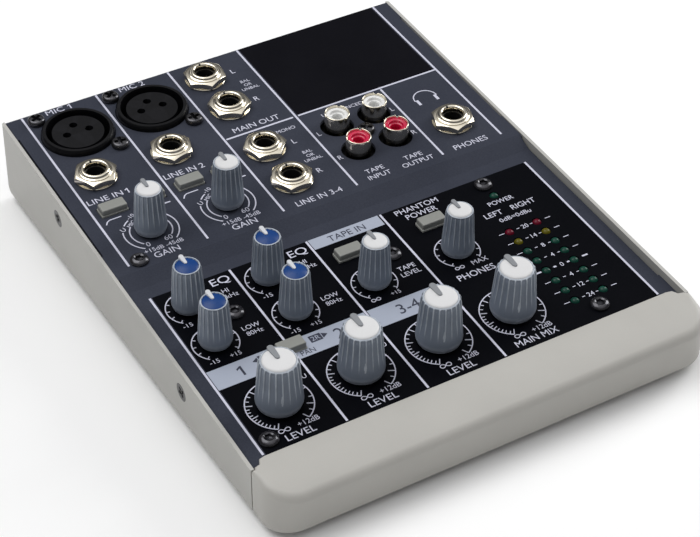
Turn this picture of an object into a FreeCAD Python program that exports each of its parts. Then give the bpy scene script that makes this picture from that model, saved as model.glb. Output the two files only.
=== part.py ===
import FreeCAD, Part
import math
import os
import re
import Sketcher

# Compact mixing console: a sheet-metal wedge with a sloping control panel.
# World frame: +X to the console's right, +Y to its back, +Z up. The origin is on the
# surface the console stands on, under the middle of its bounding box.
# Panel frame: the rear part of the control panel is its u-v plane. u is +X, v runs up
# the slope to the back, w points out of the panel, and its origin is the middle of the
# panel's rear edge.

DIMENSIONS = {
    # wedge-shaped case
    "case_width": 147.0,
    "case_depth": 193.8,
    "foot_height": 2.5,
    "rear_height": 29.7,
    "rear_lean": 4.4,
    "panel_slope": 4.53,
    "tray_sheet": 1.2,
    "side_wall": 1.1,
    "wall_front_top": 179.3,
    "wall_front_base": 178.2,
    "wall_front_height": 16.3,
    "heel_radius": 3.0,
    "panel_half": 72.2,
    "edge_slot": 0.5,
    "panel_sheet": 1.2,
    "panel_drop": 1.92,
    "ramp_back": 87.0,
    "ramp_front": 93.0,
    "panel_front": 173.4,
    "rear_wall_foot": 27.6,
    "rear_wall_out": 1.6,
    "flange_depth": 11.5,
    # front moulding
    "nose_back": 175.9,
    "nose_back_height": 16.5,
    "crease_height": 13.7,
    "nose_chin": 192.6,
    "nose_corner": 9.5,
    "crease_radius": 2.2,
    "nose_wall": 2.4,
    # rows and columns of the layout
    "strip_pitch": 26.5,
    "xlr_u": -53.8,
    "xlr_v": -17.3,
    "line_u": -58.0,
    "line_v": -40.5,
    "out_u": -4.5,
    "pair_pitch": 18.15,
    "main_out_v": -10.7,
    "stereo_in_v": -53.8,
    "phones_u": 56.1,
    "phones_v": -70.9,
    "rca_u": 21.9,
    "rca_v": -54.3,
    "rca_pitch": 14.0,
    "gain_u": -53.8,
    "gain_v": -72.1,
    "eq_u": -58.2,
    "eq_high_v": -107.0,
    "eq_low_v": -124.3,
    "tape_knob_u": -4.8,
    "phones_knob_u": 24.6,
    "master_u": 24.5,
    "stereo_knob_u": -1.1,
    "level_u": -53.7,
    "level_v": -155.0,
    "low_cut_u": -60.0,
    "instrument_u": -47.1,
    "rear_button_v": -57.5,
    "tape_button_u": -5.1,
    "phantom_u": 24.4,
    "front_button_v": -109.3,
    "pan_u": -40.4,
    "pan_v": -137.0,
    "meter_u": 43.6,
    "meter_gap": 10.16,
    "meter_v": -124.4,
    "meter_step": 5.08,
    "power_led_u": 49.0,
    "power_led_v": -107.2,
    # microphone sockets
    "xlr_nose": 11.95,
    "xlr_hole": 12.15,
    "xlr_rise": 2.0,
    "xlr_groove": 10.4,
    "xlr_insert": 8.5,
    "xlr_insert_rise": 1.0,
    "xlr_depth": 13.0,
    "xlr_block_wide": 26.0,
    "xlr_block_long": 30.4,
    "xlr_screw_du": 9.5,
    "xlr_screw_dv": 12.0,
    "pin_circle": 3.9,
    "pin_hole": 1.35,
    # quarter-inch jacks
    "jack_bore": 3.2,
    "jack_cavity": 3.5,
    "jack_thread": 4.7,
    "jack_rise": 3.8,
    "jack_sink": 5.2,
    "jack_depth": 16.0,
    "jack_block": 13.0,
    "nut_flats": 12.7,
    "nut_height": 2.2,
    "washer_radius": 6.8,
    "washer_height": 0.6,
    # phono sockets
    "rca_shell": 4.15,
    "rca_shell_wall": 0.45,
    "rca_rise": 5.5,
    "rca_recess": 3.0,
    "rca_hole": 5.6,
    "rca_core": 1.7,
    # rotary controls
    "shaft_radius": 2.5,
    "shaft_play": 0.05,
    "shaft_hole": 3.3,
    "pot_side": 9.5,
    "pot_height": 6.4,
    "knob_lift": 0.8,
    "small_foot": 4.6,
    "small_skirt": 5.2,
    "small_neck": 4.35,
    "small_cap": 3.65,
    "small_top": 17.0,
    "blue_cap": 3.55,
    "blue_dome": 1.3,
    "large_foot": 6.4,
    "large_skirt": 7.0,
    "large_neck": 5.95,
    "large_cap": 5.15,
    "large_top": 17.7,
    "skirt_rise": 1.8,
    "shoulder": 1.6,
    "rim_drop": 0.45,
    "rim_wide": 0.35,
    "cap_height": 1.5,
    "pointer_rise": 0.4,
    "pointer_overhang": 0.9,
    "small_pointer": 1.4,
    "large_pointer": 1.9,
    # push buttons
    "button_wide": 9.0,
    "button_deep": 4.7,
    "button_rise": 2.4,
    "button_step": 0.25,
    "button_flange": 0.4,
    "button_sink": 2.4,
    "button_gap": 0.2,
    "button_bevel": 0.35,
    "stem_side": 2.6,
    "stem_hole": 3.2,
    "switch_side": 7.0,
    "switch_top": 7.2,
    # lamps
    "led_radius": 1.5,
    "led_hole": 1.65,
    "led_rise": 0.6,
    "led_leg": 0.5,
    # boards and fasteners
    "board_sheet": 1.6,
    "rear_board": 17.0,
    "front_board": 12.0,
    "board_half": 69.0,
    "rear_board_front": 89.5,
    "front_board_back": 86.5,
    "front_board_front": 170.0,
    "screw_head": 3.0,
    "screw_head_height": 1.5,
    "connector_head": 2.9,
    "screw_shank": 1.25,
    "screw_length": 6.0,
    "screw_hole": 1.7,
    "standoff_radius": 2.5,
    "foot_radius": 6.0,
    "inlet_u": 48.0,
    "inlet_w": 11.0,
    "inlet_radius": 5.0,
    "inlet_bore": 2.9,
}

doc = FreeCAD.newDocument("MixingConsole")
sheet = doc.addObject("Spreadsheet::Sheet", "Dimensions")
for row, (alias, size) in enumerate(DIMENSIONS.items(), start=1):
    sheet.set(f"A{row}", alias)
    sheet.set(f"B{row}", repr(size))
    sheet.setAlias(f"B{row}", alias)
doc.recompute()

WORD = re.compile(r"[a-z]\w*")
nodes = []


# ---------------------------------------------------------------- helpers
def cells(text):
    """Point each dimension named in an expression at its spreadsheet cell."""
    return WORD.sub(
        lambda hit: f"Dimensions.{hit[0]}" if hit[0] in DIMENSIONS else hit[0], str(text)
    )


def bind(thing, **sizes):
    """Bind properties such as Length or Placement.Base.x (written base_x) to expressions."""
    for name, text in sizes.items():
        path = f"Placement.Base.{name[-1]}" if name.startswith("base_") else name
        thing.setExpression(path, cells(text))
    return thing


def at(thing, base):
    return bind(thing, base_x=base[0], base_y=base[1], base_z=base[2])


def cylinder(name, radius, height, base=(0, 0, 0)):
    return at(bind(doc.addObject("Part::Cylinder", name), Radius=radius, Height=height), base)


def cone(name, low, high, height, base=(0, 0, 0)):
    thing = bind(doc.addObject("Part::Cone", name), Radius1=low, Radius2=high, Height=height)
    return at(thing, base)


def box(name, wide, deep, high, centre):
    """A box centred on (u, v), standing on its lowest w."""
    thing = bind(doc.addObject("Part::Box", name), Length=wide, Width=deep, Height=high)
    u, v, w = centre
    return at(thing, (f"{u} - ({wide}) / 2", f"{v} - ({deep}) / 2", w))


def cut(name, whole, *tools):
    thing = doc.addObject("Part::Cut", name)
    thing.Base = whole
    thing.Tool = tools[0] if len(tools) == 1 else group(name + "_tools", tools)
    return thing


def fuse(name, *things):
    thing = doc.addObject("Part::MultiFuse", name)
    thing.Shapes = list(things)
    return thing


def common(name, *things):
    thing = doc.addObject("Part::MultiCommon", name)
    thing.Shapes = list(things)
    return thing


def group(name, things):
    thing = doc.addObject("Part::Compound", name)
    thing.Links = list(things)
    return thing


def ring(name, outer, inner, height, base=(0, 0, 0)):
    """A tube standing on its base point."""
    whole = cylinder(name + "_outer", outer, height, base)
    hole = cylinder(name + "_inner", inner, height, base)
    return cut(name, whole, hole)


def new_body(name):
    return doc.addObject("PartDesign::Body", name)


def new_sketch(body, name, role):
    sketch = body.newObject("Sketcher::SketchObject", name)
    plane = next(item for item in body.Origin.OriginFeatures if item.Role == role)
    sketch.AttachmentSupport = [(plane, "")]
    sketch.MapMode = "FlatFace"
    return sketch


def pin_point(sketch, curve, position, point):
    """Hold a point of a curve at two bound distances from the sketch's origin."""
    for kind, text in zip(("DistanceX", "DistanceY"), point):
        place = sketch.addConstraint(Sketcher.Constraint(kind, -1, 1, curve, position, 1.0))
        sketch.setExpression(f"Constraints[{place}]", cells(text))


def outline(body, name, role, points):
    """A closed straight-sided sketch with every corner bound to the sheet."""
    sketch = new_sketch(body, name, role)
    count = len(points)
    turn = [2 * math.pi * index / count for index in range(count + 1)]
    start = [FreeCAD.Vector(math.cos(angle), math.sin(angle), 0) for angle in turn]
    for index in range(count):
        sketch.addGeometry(Part.LineSegment(start[index], start[index + 1]), False)
    for index in range(count):
        joint = Sketcher.Constraint("Coincident", index, 2, (index + 1) % count, 1)
        sketch.addConstraint(joint)
        pin_point(sketch, index, 1, points[index])
    return sketch


def discs(body, name, role, circles):
    """A sketch of circles, each (x, y, radius)."""
    sketch = new_sketch(body, name, role)
    for x, y, radius in circles:
        round_edge = Part.Circle(FreeCAD.Vector(1, 1, 0), FreeCAD.Vector(0, 0, 1), 1)
        curve = sketch.addGeometry(round_edge, False)
        pin_point(sketch, curve, 3, (x, y))
        place = sketch.addConstraint(Sketcher.Constraint("Radius", curve, 1.0))
        sketch.setExpression(f"Constraints[{place}]", cells(radius))
    return sketch


def pad(body, name, sketch, length, side="Symmetric", reverse=False):
    feature = body.newObject("PartDesign::Pad", name)
    feature.Profile = sketch
    feature.SideType = side
    feature.Reversed = reverse
    sketch.Visibility = False
    return bind(feature, Length=length)


def pocket(body, name, sketch, length=None):
    """A pocket cut both ways from its sketch, through everything if it has no length."""
    doc.recompute()
    before = body.Shape.Volume
    feature = body.newObject("PartDesign::Pocket", name)
    feature.Profile = sketch
    feature.SideType = "Symmetric"
    if length is None:
        feature.Type = "ThroughAll"
    else:
        bind(feature, Length=length)
    doc.recompute()
    if not body.Shape.Volume < before - 0.01:
        raise RuntimeError(f"{name} cuts nothing")
    return feature


def revolve(body, name, points):
    """Turn an outline of (radius, height) points about the body's Z axis."""
    sketch = outline(body, name + "_profile", "XZ_Plane", points)
    feature = body.newObject("PartDesign::Revolution", name)
    feature.Profile = sketch
    axis = next(item for item in body.Origin.OriginFeatures if item.Role == "Z_Axis")
    feature.ReferenceAxis = (axis, [""])
    feature.Angle = 360
    return feature


def round_edges(body, name, radius, wanted):
    """Fillet the edges of the body's tip that a test on the edge picks out."""
    doc.recompute()
    tip = body.Tip
    found = [f"Edge{n}" for n, edge in enumerate(tip.Shape.Edges, start=1) if wanted(edge)]
    feature = body.newObject("PartDesign::Fillet", name)
    feature.Base = (tip, found)
    bind(feature, Radius=radius)
    body.Tip = feature
    return feature


def spans(edge, axis, length):
    """True if the edge is about as long as a length along one axis."""
    box_of_edge = edge.BoundBox
    reach = {"x": box_of_edge.XLength, "y": box_of_edge.YLength, "z": box_of_edge.ZLength}
    others = [value for key, value in reach.items() if key != axis]
    return reach[axis] > length and max(others) < reach[axis] / 5


def size_of(text):
    """A sheet dimension as a number."""
    return float(sheet.get(text))


def panel_frame(u=0.0, v=0.0, w=0.0):
    """The placement of a piece that stands on the sloping panel at (u, v, w)."""
    rear_edge = FreeCAD.Vector(
        0,
        size_of("case_depth") / 2 - size_of("rear_lean"),
        size_of("foot_height") + size_of("rear_height"),
    )
    tilt = FreeCAD.Rotation(FreeCAD.Vector(1, 0, 0), size_of("panel_slope"))
    local = FreeCAD.Placement(FreeCAD.Vector(u, v, w), FreeCAD.Rotation())
    return FreeCAD.Placement(rear_edge, tilt).multiply(local)


def keep(name, thing, placement=None):
    """Name a finished sub-part and put it in its place."""
    thing.Label = name
    if placement is not None:
        thing.Placement = placement
    nodes.append(thing)
    return thing


# ---------------------------------------------------------------- layout
STRIPS = ((1, "0"), (2, "strip_pitch"))
LOW_PANEL = "-panel_drop"

xlr_centres = [(f"xlr_u + {step}", "xlr_v") for _, step in STRIPS]
jack_centres = [(f"line_u + {step}", "line_v") for _, step in STRIPS] + [
    ("out_u", "main_out_v"),
    ("out_u", "main_out_v - pair_pitch"),
    ("out_u", "stereo_in_v"),
    ("out_u", "stereo_in_v - pair_pitch"),
    ("phones_u", "phones_v"),
]
rca_left = [("rca_u", "rca_v"), ("rca_u + rca_pitch", "rca_v")]
rca_right = [(u, "rca_v - rca_pitch") for u, _ in rca_left]
rca_screw = ("rca_u + rca_pitch / 2", "rca_v - rca_pitch / 2")
connector_screw_points = [
    (f"{u} + {side} * xlr_screw_du", f"{v} - {side} * xlr_screw_dv")
    for u, v in xlr_centres
    for side in (-1, 1)
] + [rca_screw]

# knob name, u, v, kind
KNOBS = [(f"gain_{n}", f"gain_u + {step}", "gain_v", "small") for n, step in STRIPS]
KNOBS += [(f"eq_high_{n}", f"eq_u + {step}", "eq_high_v", "blue") for n, step in STRIPS]
KNOBS += [(f"eq_low_{n}", f"eq_u + {step}", "eq_low_v", "blue") for n, step in STRIPS]
KNOBS += [(f"level_{n}", f"level_u + {step}", "level_v", "large") for n, step in STRIPS]
KNOBS += [
    ("stereo_level", "stereo_knob_u", "level_v", "large"),
    ("main_mix", "master_u", "level_v", "large"),
    ("tape_level", "tape_knob_u", "eq_low_v", "small"),
    ("phones_level", "phones_knob_u", "eq_low_v", "small"),
]

# button name, u, v, whether it stands on the raised rear part of the panel
BUTTONS = [(f"low_cut_{n}", f"low_cut_u + {step}", "rear_button_v", True) for n, step in STRIPS]
BUTTONS += [
    (f"instrument_{n}", f"instrument_u + {step}", "rear_button_v", True) for n, step in STRIPS
]
BUTTONS += [
    ("tape_in", "tape_button_u", "front_button_v", False),
    ("phantom_power", "phantom_u", "front_button_v", False),
    ("stereo_pan", "pan_u", "pan_v", False),
]

meter_points = {"red_leds": (0,), "yellow_leds": (1,), "green_leds": (2, 3, 4, 5, 6, 7)}
led_points = {
    name: [
        (f"meter_u + {side} * meter_gap", f"meter_v - {row} * meter_step")
        for row in rows
        for side in (0, 1)
    ]
    for name, rows in meter_points.items()
}
led_points["green_leds"].append(("power_led_u", "power_led_v"))

# black screws that hold the boards' standoffs to the panel: u, v, panel level at that spot
BOARD_SCREWS = [
    ("-63.0", "-83.2", "0"),
    ("-47.6", "-115.8", LOW_PANEL),
    ("6.3", "-116.0", LOW_PANEL),
    ("power_led_u - 0.4", "-101.4", LOW_PANEL),
    ("power_led_u - 0.2", "-165.3", LOW_PANEL),
    ("-62.8", "-165.9", LOW_PANEL),
]


def on_rear(v_text):
    """True for rows on the raised rear part of the panel."""
    return v_text == "gain_v"


# ---------------------------------------------------------------- case
def make_tray():
    """Folded tray: base and the two side walls, open to the back and front."""
    rear = "case_depth / 2"
    tray = new_body("tray_body")
    side = outline(tray, "side_view", "YZ_Plane", [
        (rear, "foot_height"),
        (f"{rear} - rear_lean", "foot_height + rear_height"),
        (f"{rear} - wall_front_top", "foot_height + wall_front_height"),
        (f"{rear} - wall_front_base", "foot_height"),
    ])
    pad(tray, "wedge", side, "case_width")
    foot = size_of("foot_height")
    rear_y = size_of("case_depth") / 2
    half = size_of("case_width") / 2

    def at_heel(edge):
        middle = edge.BoundBox.Center
        return spans(edge, "x", half) and abs(middle.y - rear_y) < 1 and middle.z < foot + 1

    def at_fold(edge):
        middle = edge.BoundBox.Center
        return spans(edge, "y", rear_y) and abs(middle.x) > half - 0.01 and middle.z < foot + 1

    round_edges(tray, "heel", "heel_radius", at_heel)
    round_edges(tray, "folds", "tray_sheet - 0.3", at_fold)
    inside = outline(tray, "inside_view", "YZ_Plane", [
        (f"{rear} + 1", "foot_height + tray_sheet"),
        (f"{rear} + 1", "foot_height + rear_height + 1"),
        ("-case_depth / 2", "foot_height + rear_height + 1"),
        ("-case_depth / 2", "foot_height + tray_sheet"),
    ])
    pocket(tray, "channel", inside, "case_width - 2 * side_wall")
    keep("chassis_tray", cut("tray_cut", tray, *[tool for tool in side_screw_tools()]))


SIDE_SCREWS = (("case_depth / 2 - 47.9", "foot_height + 18.3"),
               ("case_depth / 2 - 135.5", "foot_height + 11.4"))


def side_screw(name, side, y, z, head, shank, length):
    """A countersunk screw that points into the console from one side wall."""
    taper = cone(name + "_head", head, shank, "side_wall - 0.5")
    stem = cylinder(name + "_shank", shank, length)
    whole = fuse(name, taper, stem)
    whole.Placement = FreeCAD.Placement(
        FreeCAD.Vector(0, 0, 0), FreeCAD.Rotation(FreeCAD.Vector(0, 1, 0), -90 * side)
    )
    return at(whole, (f"{side} * case_width / 2", y, z))


def side_screw_tools():
    for side in (-1, 1):
        for index, (y, z) in enumerate(SIDE_SCREWS):
            name = f"side_hole_{'L' if side < 0 else 'R'}{index}"
            yield side_screw(name, side, y, z, "3.05", "screw_shank + 0.15", "side_wall + 2")


def make_side_screws():
    """Countersunk screws, two in each side wall, with a cross recess."""
    screws = []
    for side in (-1, 1):
        for index, (y, z) in enumerate(SIDE_SCREWS):
            name = f"side_screw_{'L' if side < 0 else 'R'}{index}"
            screw = side_screw(name, side, y, z, "3", "screw_shank", "side_wall + 3.5")
            slots = [
                box(f"{name}_slot{n}", wide, deep, high, ("0", "0", "0"))
                for n, (wide, deep, high) in enumerate(
                    (("1.2", "0.5", "2.6"), ("1.2", "2.6", "0.5"))
                )
            ]
            for slot, rise in zip(slots, ("1.3", "0.25")):
                at(slot, (f"{side} * case_width / 2 - 0.6", f"{y} - {slot.Width.Value} / 2",
                          f"{z} - {rise}"))
            screws.append(cut(name + "_done", screw, *slots))
    keep("side_screws", group("side_screw_set", screws))


def make_panel():
    """Control panel: one folded sheet with a raised rear part, a ramp and a lower front."""
    panel = new_body("panel_body")
    section = outline(panel, "section", "YZ_Plane", [
        ("0", "0"),
        ("-ramp_back", "0"),
        ("-ramp_front", "-panel_drop"),
        ("-panel_front", "-panel_drop"),
        ("-panel_front", "-panel_drop - panel_sheet"),
        ("-ramp_front", "-panel_drop - panel_sheet"),
        ("-ramp_back", "-panel_sheet"),
        ("-panel_sheet", "-panel_sheet"),
        ("rear_wall_out - panel_sheet", "-rear_wall_foot"),
        ("rear_wall_out", "-rear_wall_foot"),
    ])
    pad(panel, "folded_sheet", section, "2 * panel_half")
    for side in (-1, 1):
        flange = outline(panel, f"flange_view_{side + 1}", "YZ_Plane", [
            ("-3", "-panel_sheet / 2"),
            ("-ramp_back", "-panel_sheet / 2"),
            ("-ramp_front", "-panel_drop - panel_sheet / 2"),
            ("4 - panel_front", "-panel_drop - panel_sheet / 2"),
            ("4 - panel_front", "-flange_depth"),
            ("-3", "-flange_depth"),
        ])
        reach = "panel_half" if side > 0 else "-panel_half"
        offset = f"{reach} - {side} * panel_sheet"
        flange.setExpression("AttachmentOffset.Base.z", cells(offset))
        pad(panel, f"flange_{side + 1}", flange, "panel_sheet", "One side", side < 0)

    def at_bend(edge):
        middle = edge.BoundBox.Center
        return spans(edge, "x", 100) and abs(middle.y) < 0.01 and abs(middle.z) < 0.01

    round_edges(panel, "rear_bend", "panel_sheet", at_bend)
    connectors = [(u, v, "xlr_hole") for u, v in xlr_centres]
    connectors += [(u, v, "jack_thread + 0.2") for u, v in jack_centres]
    connectors += [(u, v, "rca_hole") for u, v in rca_left + rca_right]
    connectors += [(u, v, "screw_hole") for u, v in connector_screw_points]
    controls = [(u, v, "shaft_hole") for _, u, v, _ in KNOBS]
    controls += [(u, v, "screw_hole") for u, v, _ in BOARD_SCREWS]
    lamps = [(u, v, "led_hole") for points in led_points.values() for u, v in points]
    for name, circles in (("connector", connectors), ("control", controls), ("lamp", lamps)):
        pocket(panel, f"{name}_holes", discs(panel, f"{name}_circles", "XY_Plane", circles))
    windows = [
        box(f"{name}_window", "button_wide + 2 * button_gap", "button_deep + 2 * button_gap",
            "10", (u, v, "-6"))
        for name, u, v, _ in BUTTONS
    ]
    inlet = cylinder("inlet_hole", "inlet_radius + 0.1", "8", ("inlet_u", "-4", "-inlet_w"))
    inlet.Placement = FreeCAD.Placement(
        FreeCAD.Vector(0, 0, 0), FreeCAD.Rotation(FreeCAD.Vector(1, 0, 0), -90)
    )
    slots = [
        box(f"edge_slot_{side + 1}{index}", "4", length, "6",
            (f"{side} * (panel_half - edge_slot + 2)", middle, "-4.5"))
        for side in (-1, 1)
        for index, (length, middle) in enumerate((("65", "-43.5"), ("75", "-125.5")))
    ]
    flange_holes = []
    for side in (-1, 1):
        for index, (y, z) in enumerate(SIDE_SCREWS):
            hole = cylinder(f"flange_hole_{side + 1}{index}", "screw_shank + 0.1", "8")
            hole.Placement = FreeCAD.Placement(
                FreeCAD.Vector(0, 0, 0), FreeCAD.Rotation(FreeCAD.Vector(0, 1, 0), 90)
            )
            at(hole, (f"{side} * panel_half - 4", y, z))
            flange_holes.append(hole)
    in_world = group("flange_hole_set", flange_holes)
    in_world.Placement = panel_frame().inverse()
    keep("top_panel", cut("panel_cut", panel, in_world, inlet, *windows, *slots), panel_frame())


def make_nose():
    """Front moulding: a hollow shell that closes the wedge, rounded at its corners."""
    nose = new_body("nose_body")
    rear = "case_depth / 2"
    section = outline(nose, "nose_section", "YZ_Plane", [
        (f"{rear} - wall_front_base", "foot_height"),
        (f"{rear} - nose_chin", "foot_height"),
        ("-case_depth / 2", "foot_height + crease_height"),
        (f"{rear} - nose_back", "foot_height + nose_back_height"),
        (f"{rear} - nose_back", "foot_height + nose_back_height - 2.2"),
        (f"{rear} - wall_front_top", "foot_height + nose_back_height - 2.6"),
    ])
    pad(nose, "nose_block", section, "case_width")
    half = size_of("case_width") / 2
    rear_y = size_of("case_depth") / 2

    def at_corner(edge):
        middle = edge.BoundBox.Center
        return spans(edge, "z", 8) and abs(middle.x) > half - 0.01 and middle.y < 1.5 - rear_y

    round_edges(nose, "corners", "nose_corner", at_corner)
    back_y = rear_y - size_of("nose_back")
    back_z = size_of("foot_height") + size_of("nose_back_height")
    crease_z = size_of("foot_height") + size_of("crease_height")
    slope = (back_z - crease_z) / (back_y + rear_y)

    def at_rim(edge):
        """The outer edges of the sloping top: both sides, both corners and the front."""
        on_top = all(
            abs(end.Z - back_z - slope * (end.Y - back_y)) < 0.01 for end in edge.Vertexes
        )
        return on_top and edge.BoundBox.Center.y < back_y - 1

    round_edges(nose, "crease", "crease_radius", at_rim)
    hollow = outline(nose, "hollow_view", "YZ_Plane", [
        (f"{rear} - wall_front_base + 1", "foot_height + nose_wall"),
        (f"3.4 - {rear}", "foot_height + nose_wall"),
        (f"3.4 - {rear}", "foot_height + crease_height - nose_wall"),
        (f"{rear} - wall_front_top - 0.6", "foot_height + nose_back_height - 4.2"),
        (f"{rear} - wall_front_base + 1", "foot_height + nose_back_height - 3.4"),
    ])
    pocket(nose, "hollow", hollow, "case_width - 15")
    ears = [
        box(f"ear_{side}", "4", "8", "20",
            (f"{side} * (case_width / 2 - side_wall - 0.4 + 2)",
             f"{rear} - wall_front_top + 4.15", "foot_height - 1"))
        for side in (-1, 1)
    ]
    keep("front_bumper", cut("nose_cut", nose, *ears))


def make_feet():
    """Four round rubber feet under the base."""
    feet = []
    for x in (-1, 1):
        for y in ("case_depth / 2 - 20", "22 - case_depth / 2"):
            base = (f"{x} * (case_width / 2 - 17)", y, "0")
            feet.append(cone(f"foot_{len(feet)}", "foot_radius - 0.5", "foot_radius",
                             "foot_height", base))
    keep("rubber_feet", group("foot_set", feet))


# ---------------------------------------------------------------- boards and fasteners
def board_level(w_text):
    return "-rear_board" if w_text == "0" else "-front_board"


def make_boards():
    """Two circuit boards that hang from the panel, and the header that joins them."""
    rear = box("rear_board_blank", "2 * board_half", "rear_board_front - 3.4", "board_sheet",
               ("0", "-(rear_board_front + 3.4) / 2", "-rear_board - board_sheet"))
    front = box("front_board_blank", "2 * board_half", "front_board_front - front_board_back",
                "board_sheet", ("0", "-(front_board_front + front_board_back) / 2",
                                "-front_board - board_sheet"))
    holes = {"0": [], LOW_PANEL: []}
    for index, (u, v, level) in enumerate(BOARD_SCREWS):
        top = f"{board_level(level)} - board_sheet"
        holes[level].append(cylinder(f"stub_hole_{index}", "1.45", "board_sheet", (u, v, top)))
    keep("connector_board", cut("rear_board_cut", rear, *holes["0"]), panel_frame())
    keep("control_board", cut("front_board_cut", front, *holes[LOW_PANEL]), panel_frame())
    link = box("link", "42", "2.4", "rear_board - front_board - board_sheet",
               ("0", "-(rear_board_front + front_board_back) / 2", "-rear_board"))
    keep("board_link", group("link_set", [link]), panel_frame())
    chips = []
    for column in range(4):
        for row, v in enumerate(("-134.5", "-144.5")):
            chips.append(box(f"chip_{column}{row}", "6", "5", "1.6",
                             (f"{column} * 12 - 30", v, "-front_board")))
    keep("amplifier_chips", group("chip_set", chips), panel_frame())


def make_standoffs():
    """Threaded pillars between the panel and the boards."""
    pillars = []
    for index, (u, v, level) in enumerate(BOARD_SCREWS):
        board = board_level(level)
        under = f"{level} - panel_sheet"
        post = cylinder(f"post_{index}", "standoff_radius", f"{under} - ({board})",
                        (u, v, board))
        stub = cylinder(f"stub_{index}", "1.4", "board_sheet", (u, v, f"{board} - board_sheet"))
        thread = cylinder(f"thread_{index}", "screw_shank + 0.05", "screw_length - 0.5",
                          (u, v, f"{under} - screw_length + 0.5"))
        pillars.append(cut(f"pillar_{index}", fuse(f"pillar_{index}_solid", post, stub), thread))
    keep("board_standoffs", group("pillar_set", pillars), panel_frame())


def button_head_screw(name, u, v, level, recess_sides):
    """A black screw: domed head on the panel and a shank below it."""
    dome = cone(name + "_dome", "screw_head", "screw_head - 0.7", "screw_head_height", (u, v, level))
    shank = cylinder(name + "_shank", "screw_shank", "screw_length", (u, v, f"{level} - screw_length"))
    socket = doc.addObject("Part::Prism", name + "_socket")
    socket.Polygon = recess_sides
    bind(socket, Circumradius="1.2", Height="1")
    at(socket, (u, v, f"{level} + screw_head_height - 0.9"))
    return cut(name, fuse(name + "_solid", dome, shank), socket)


def make_screws():
    panel_screws = [
        button_head_screw(f"panel_screw_{index}", u, v, level, 6)
        for index, (u, v, level) in enumerate(BOARD_SCREWS)
    ]
    keep("panel_screws", group("panel_screw_set", panel_screws), panel_frame())
    connector_screws = []
    for index, (u, v) in enumerate(connector_screw_points):
        name = f"connector_screw_{index}"
        head = cone(name + "_head", "connector_head", "connector_head - 0.5", "2", (u, v, "0"))
        shank = cylinder(name + "_shank", "screw_shank", "7", (u, v, "-7"))
        bars = [
            box(f"{name}_bar{n}", wide, deep, "1", (u, v, "1.2"))
            for n, (wide, deep) in enumerate((("3.6", "0.9"), ("0.9", "3.6")))
        ]
        connector_screws.append(cut(name, fuse(name + "_solid", head, shank), *bars))
    keep("connector_screws", group("connector_screw_set", connector_screws), panel_frame())


# ---------------------------------------------------------------- connectors
def make_xlrs():
    """Three-pole microphone sockets: a block behind the panel with a round nose through it."""
    shells = []
    inserts = []
    contacts = []
    for index, (u, v) in enumerate(xlr_centres):
        name = f"xlr_{index + 1}"
        block = box(name + "_block", "xlr_block_wide", "xlr_block_long",
                    "rear_board - panel_sheet", (u, v, "-rear_board"))
        nose = cylinder(name + "_nose", "xlr_nose", "rear_board + xlr_rise - 1",
                        (u, v, "-rear_board"))
        lip = cone(name + "_lip", "xlr_nose", "xlr_nose - 0.6", "1", (u, v, "xlr_rise - 1"))
        groove = cylinder(name + "_groove", "xlr_groove", "xlr_depth + xlr_rise",
                          (u, v, "-xlr_depth"))
        tapped = [
            cylinder(f"{name}_tap{n}", "screw_shank + 0.05", "8",
                     (f"{u} + {side} * xlr_screw_du", f"{v} - {side} * xlr_screw_dv", "-8.5"))
            for n, side in enumerate((-1, 1))
        ]
        shells.append(cut(name, fuse(name + "_solid", block, nose, lip), groove, *tapped))
        core = cylinder(name + "_core", "xlr_insert", "xlr_depth + xlr_insert_rise",
                        (u, v, "-xlr_depth"))
        pins = [(f"{u} - pin_circle", v), (f"{u} + pin_circle", v), (u, f"{v} + pin_circle")]
        holes = [
            cylinder(f"{name}_pin{n}", "pin_hole", "xlr_depth + xlr_insert_rise - 1",
                     (pin_u, pin_v, "1 - xlr_depth"))
            for n, (pin_u, pin_v) in enumerate(pins)
        ]
        inserts.append(cut(name + "_insert", core, *holes))
        contacts += [
            ring(f"{name}_contact{n}", "pin_hole - 0.02", "pin_hole - 0.3", "xlr_depth - 3",
                 (pin_u, pin_v, "1 - xlr_depth"))
            for n, (pin_u, pin_v) in enumerate(pins)
        ]
    keep("xlr_shells", group("xlr_shell_set", shells), panel_frame())
    keep("xlr_inserts", group("xlr_insert_set", inserts), panel_frame())
    keep("xlr_contacts", group("xlr_contact_set", contacts), panel_frame())


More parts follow.
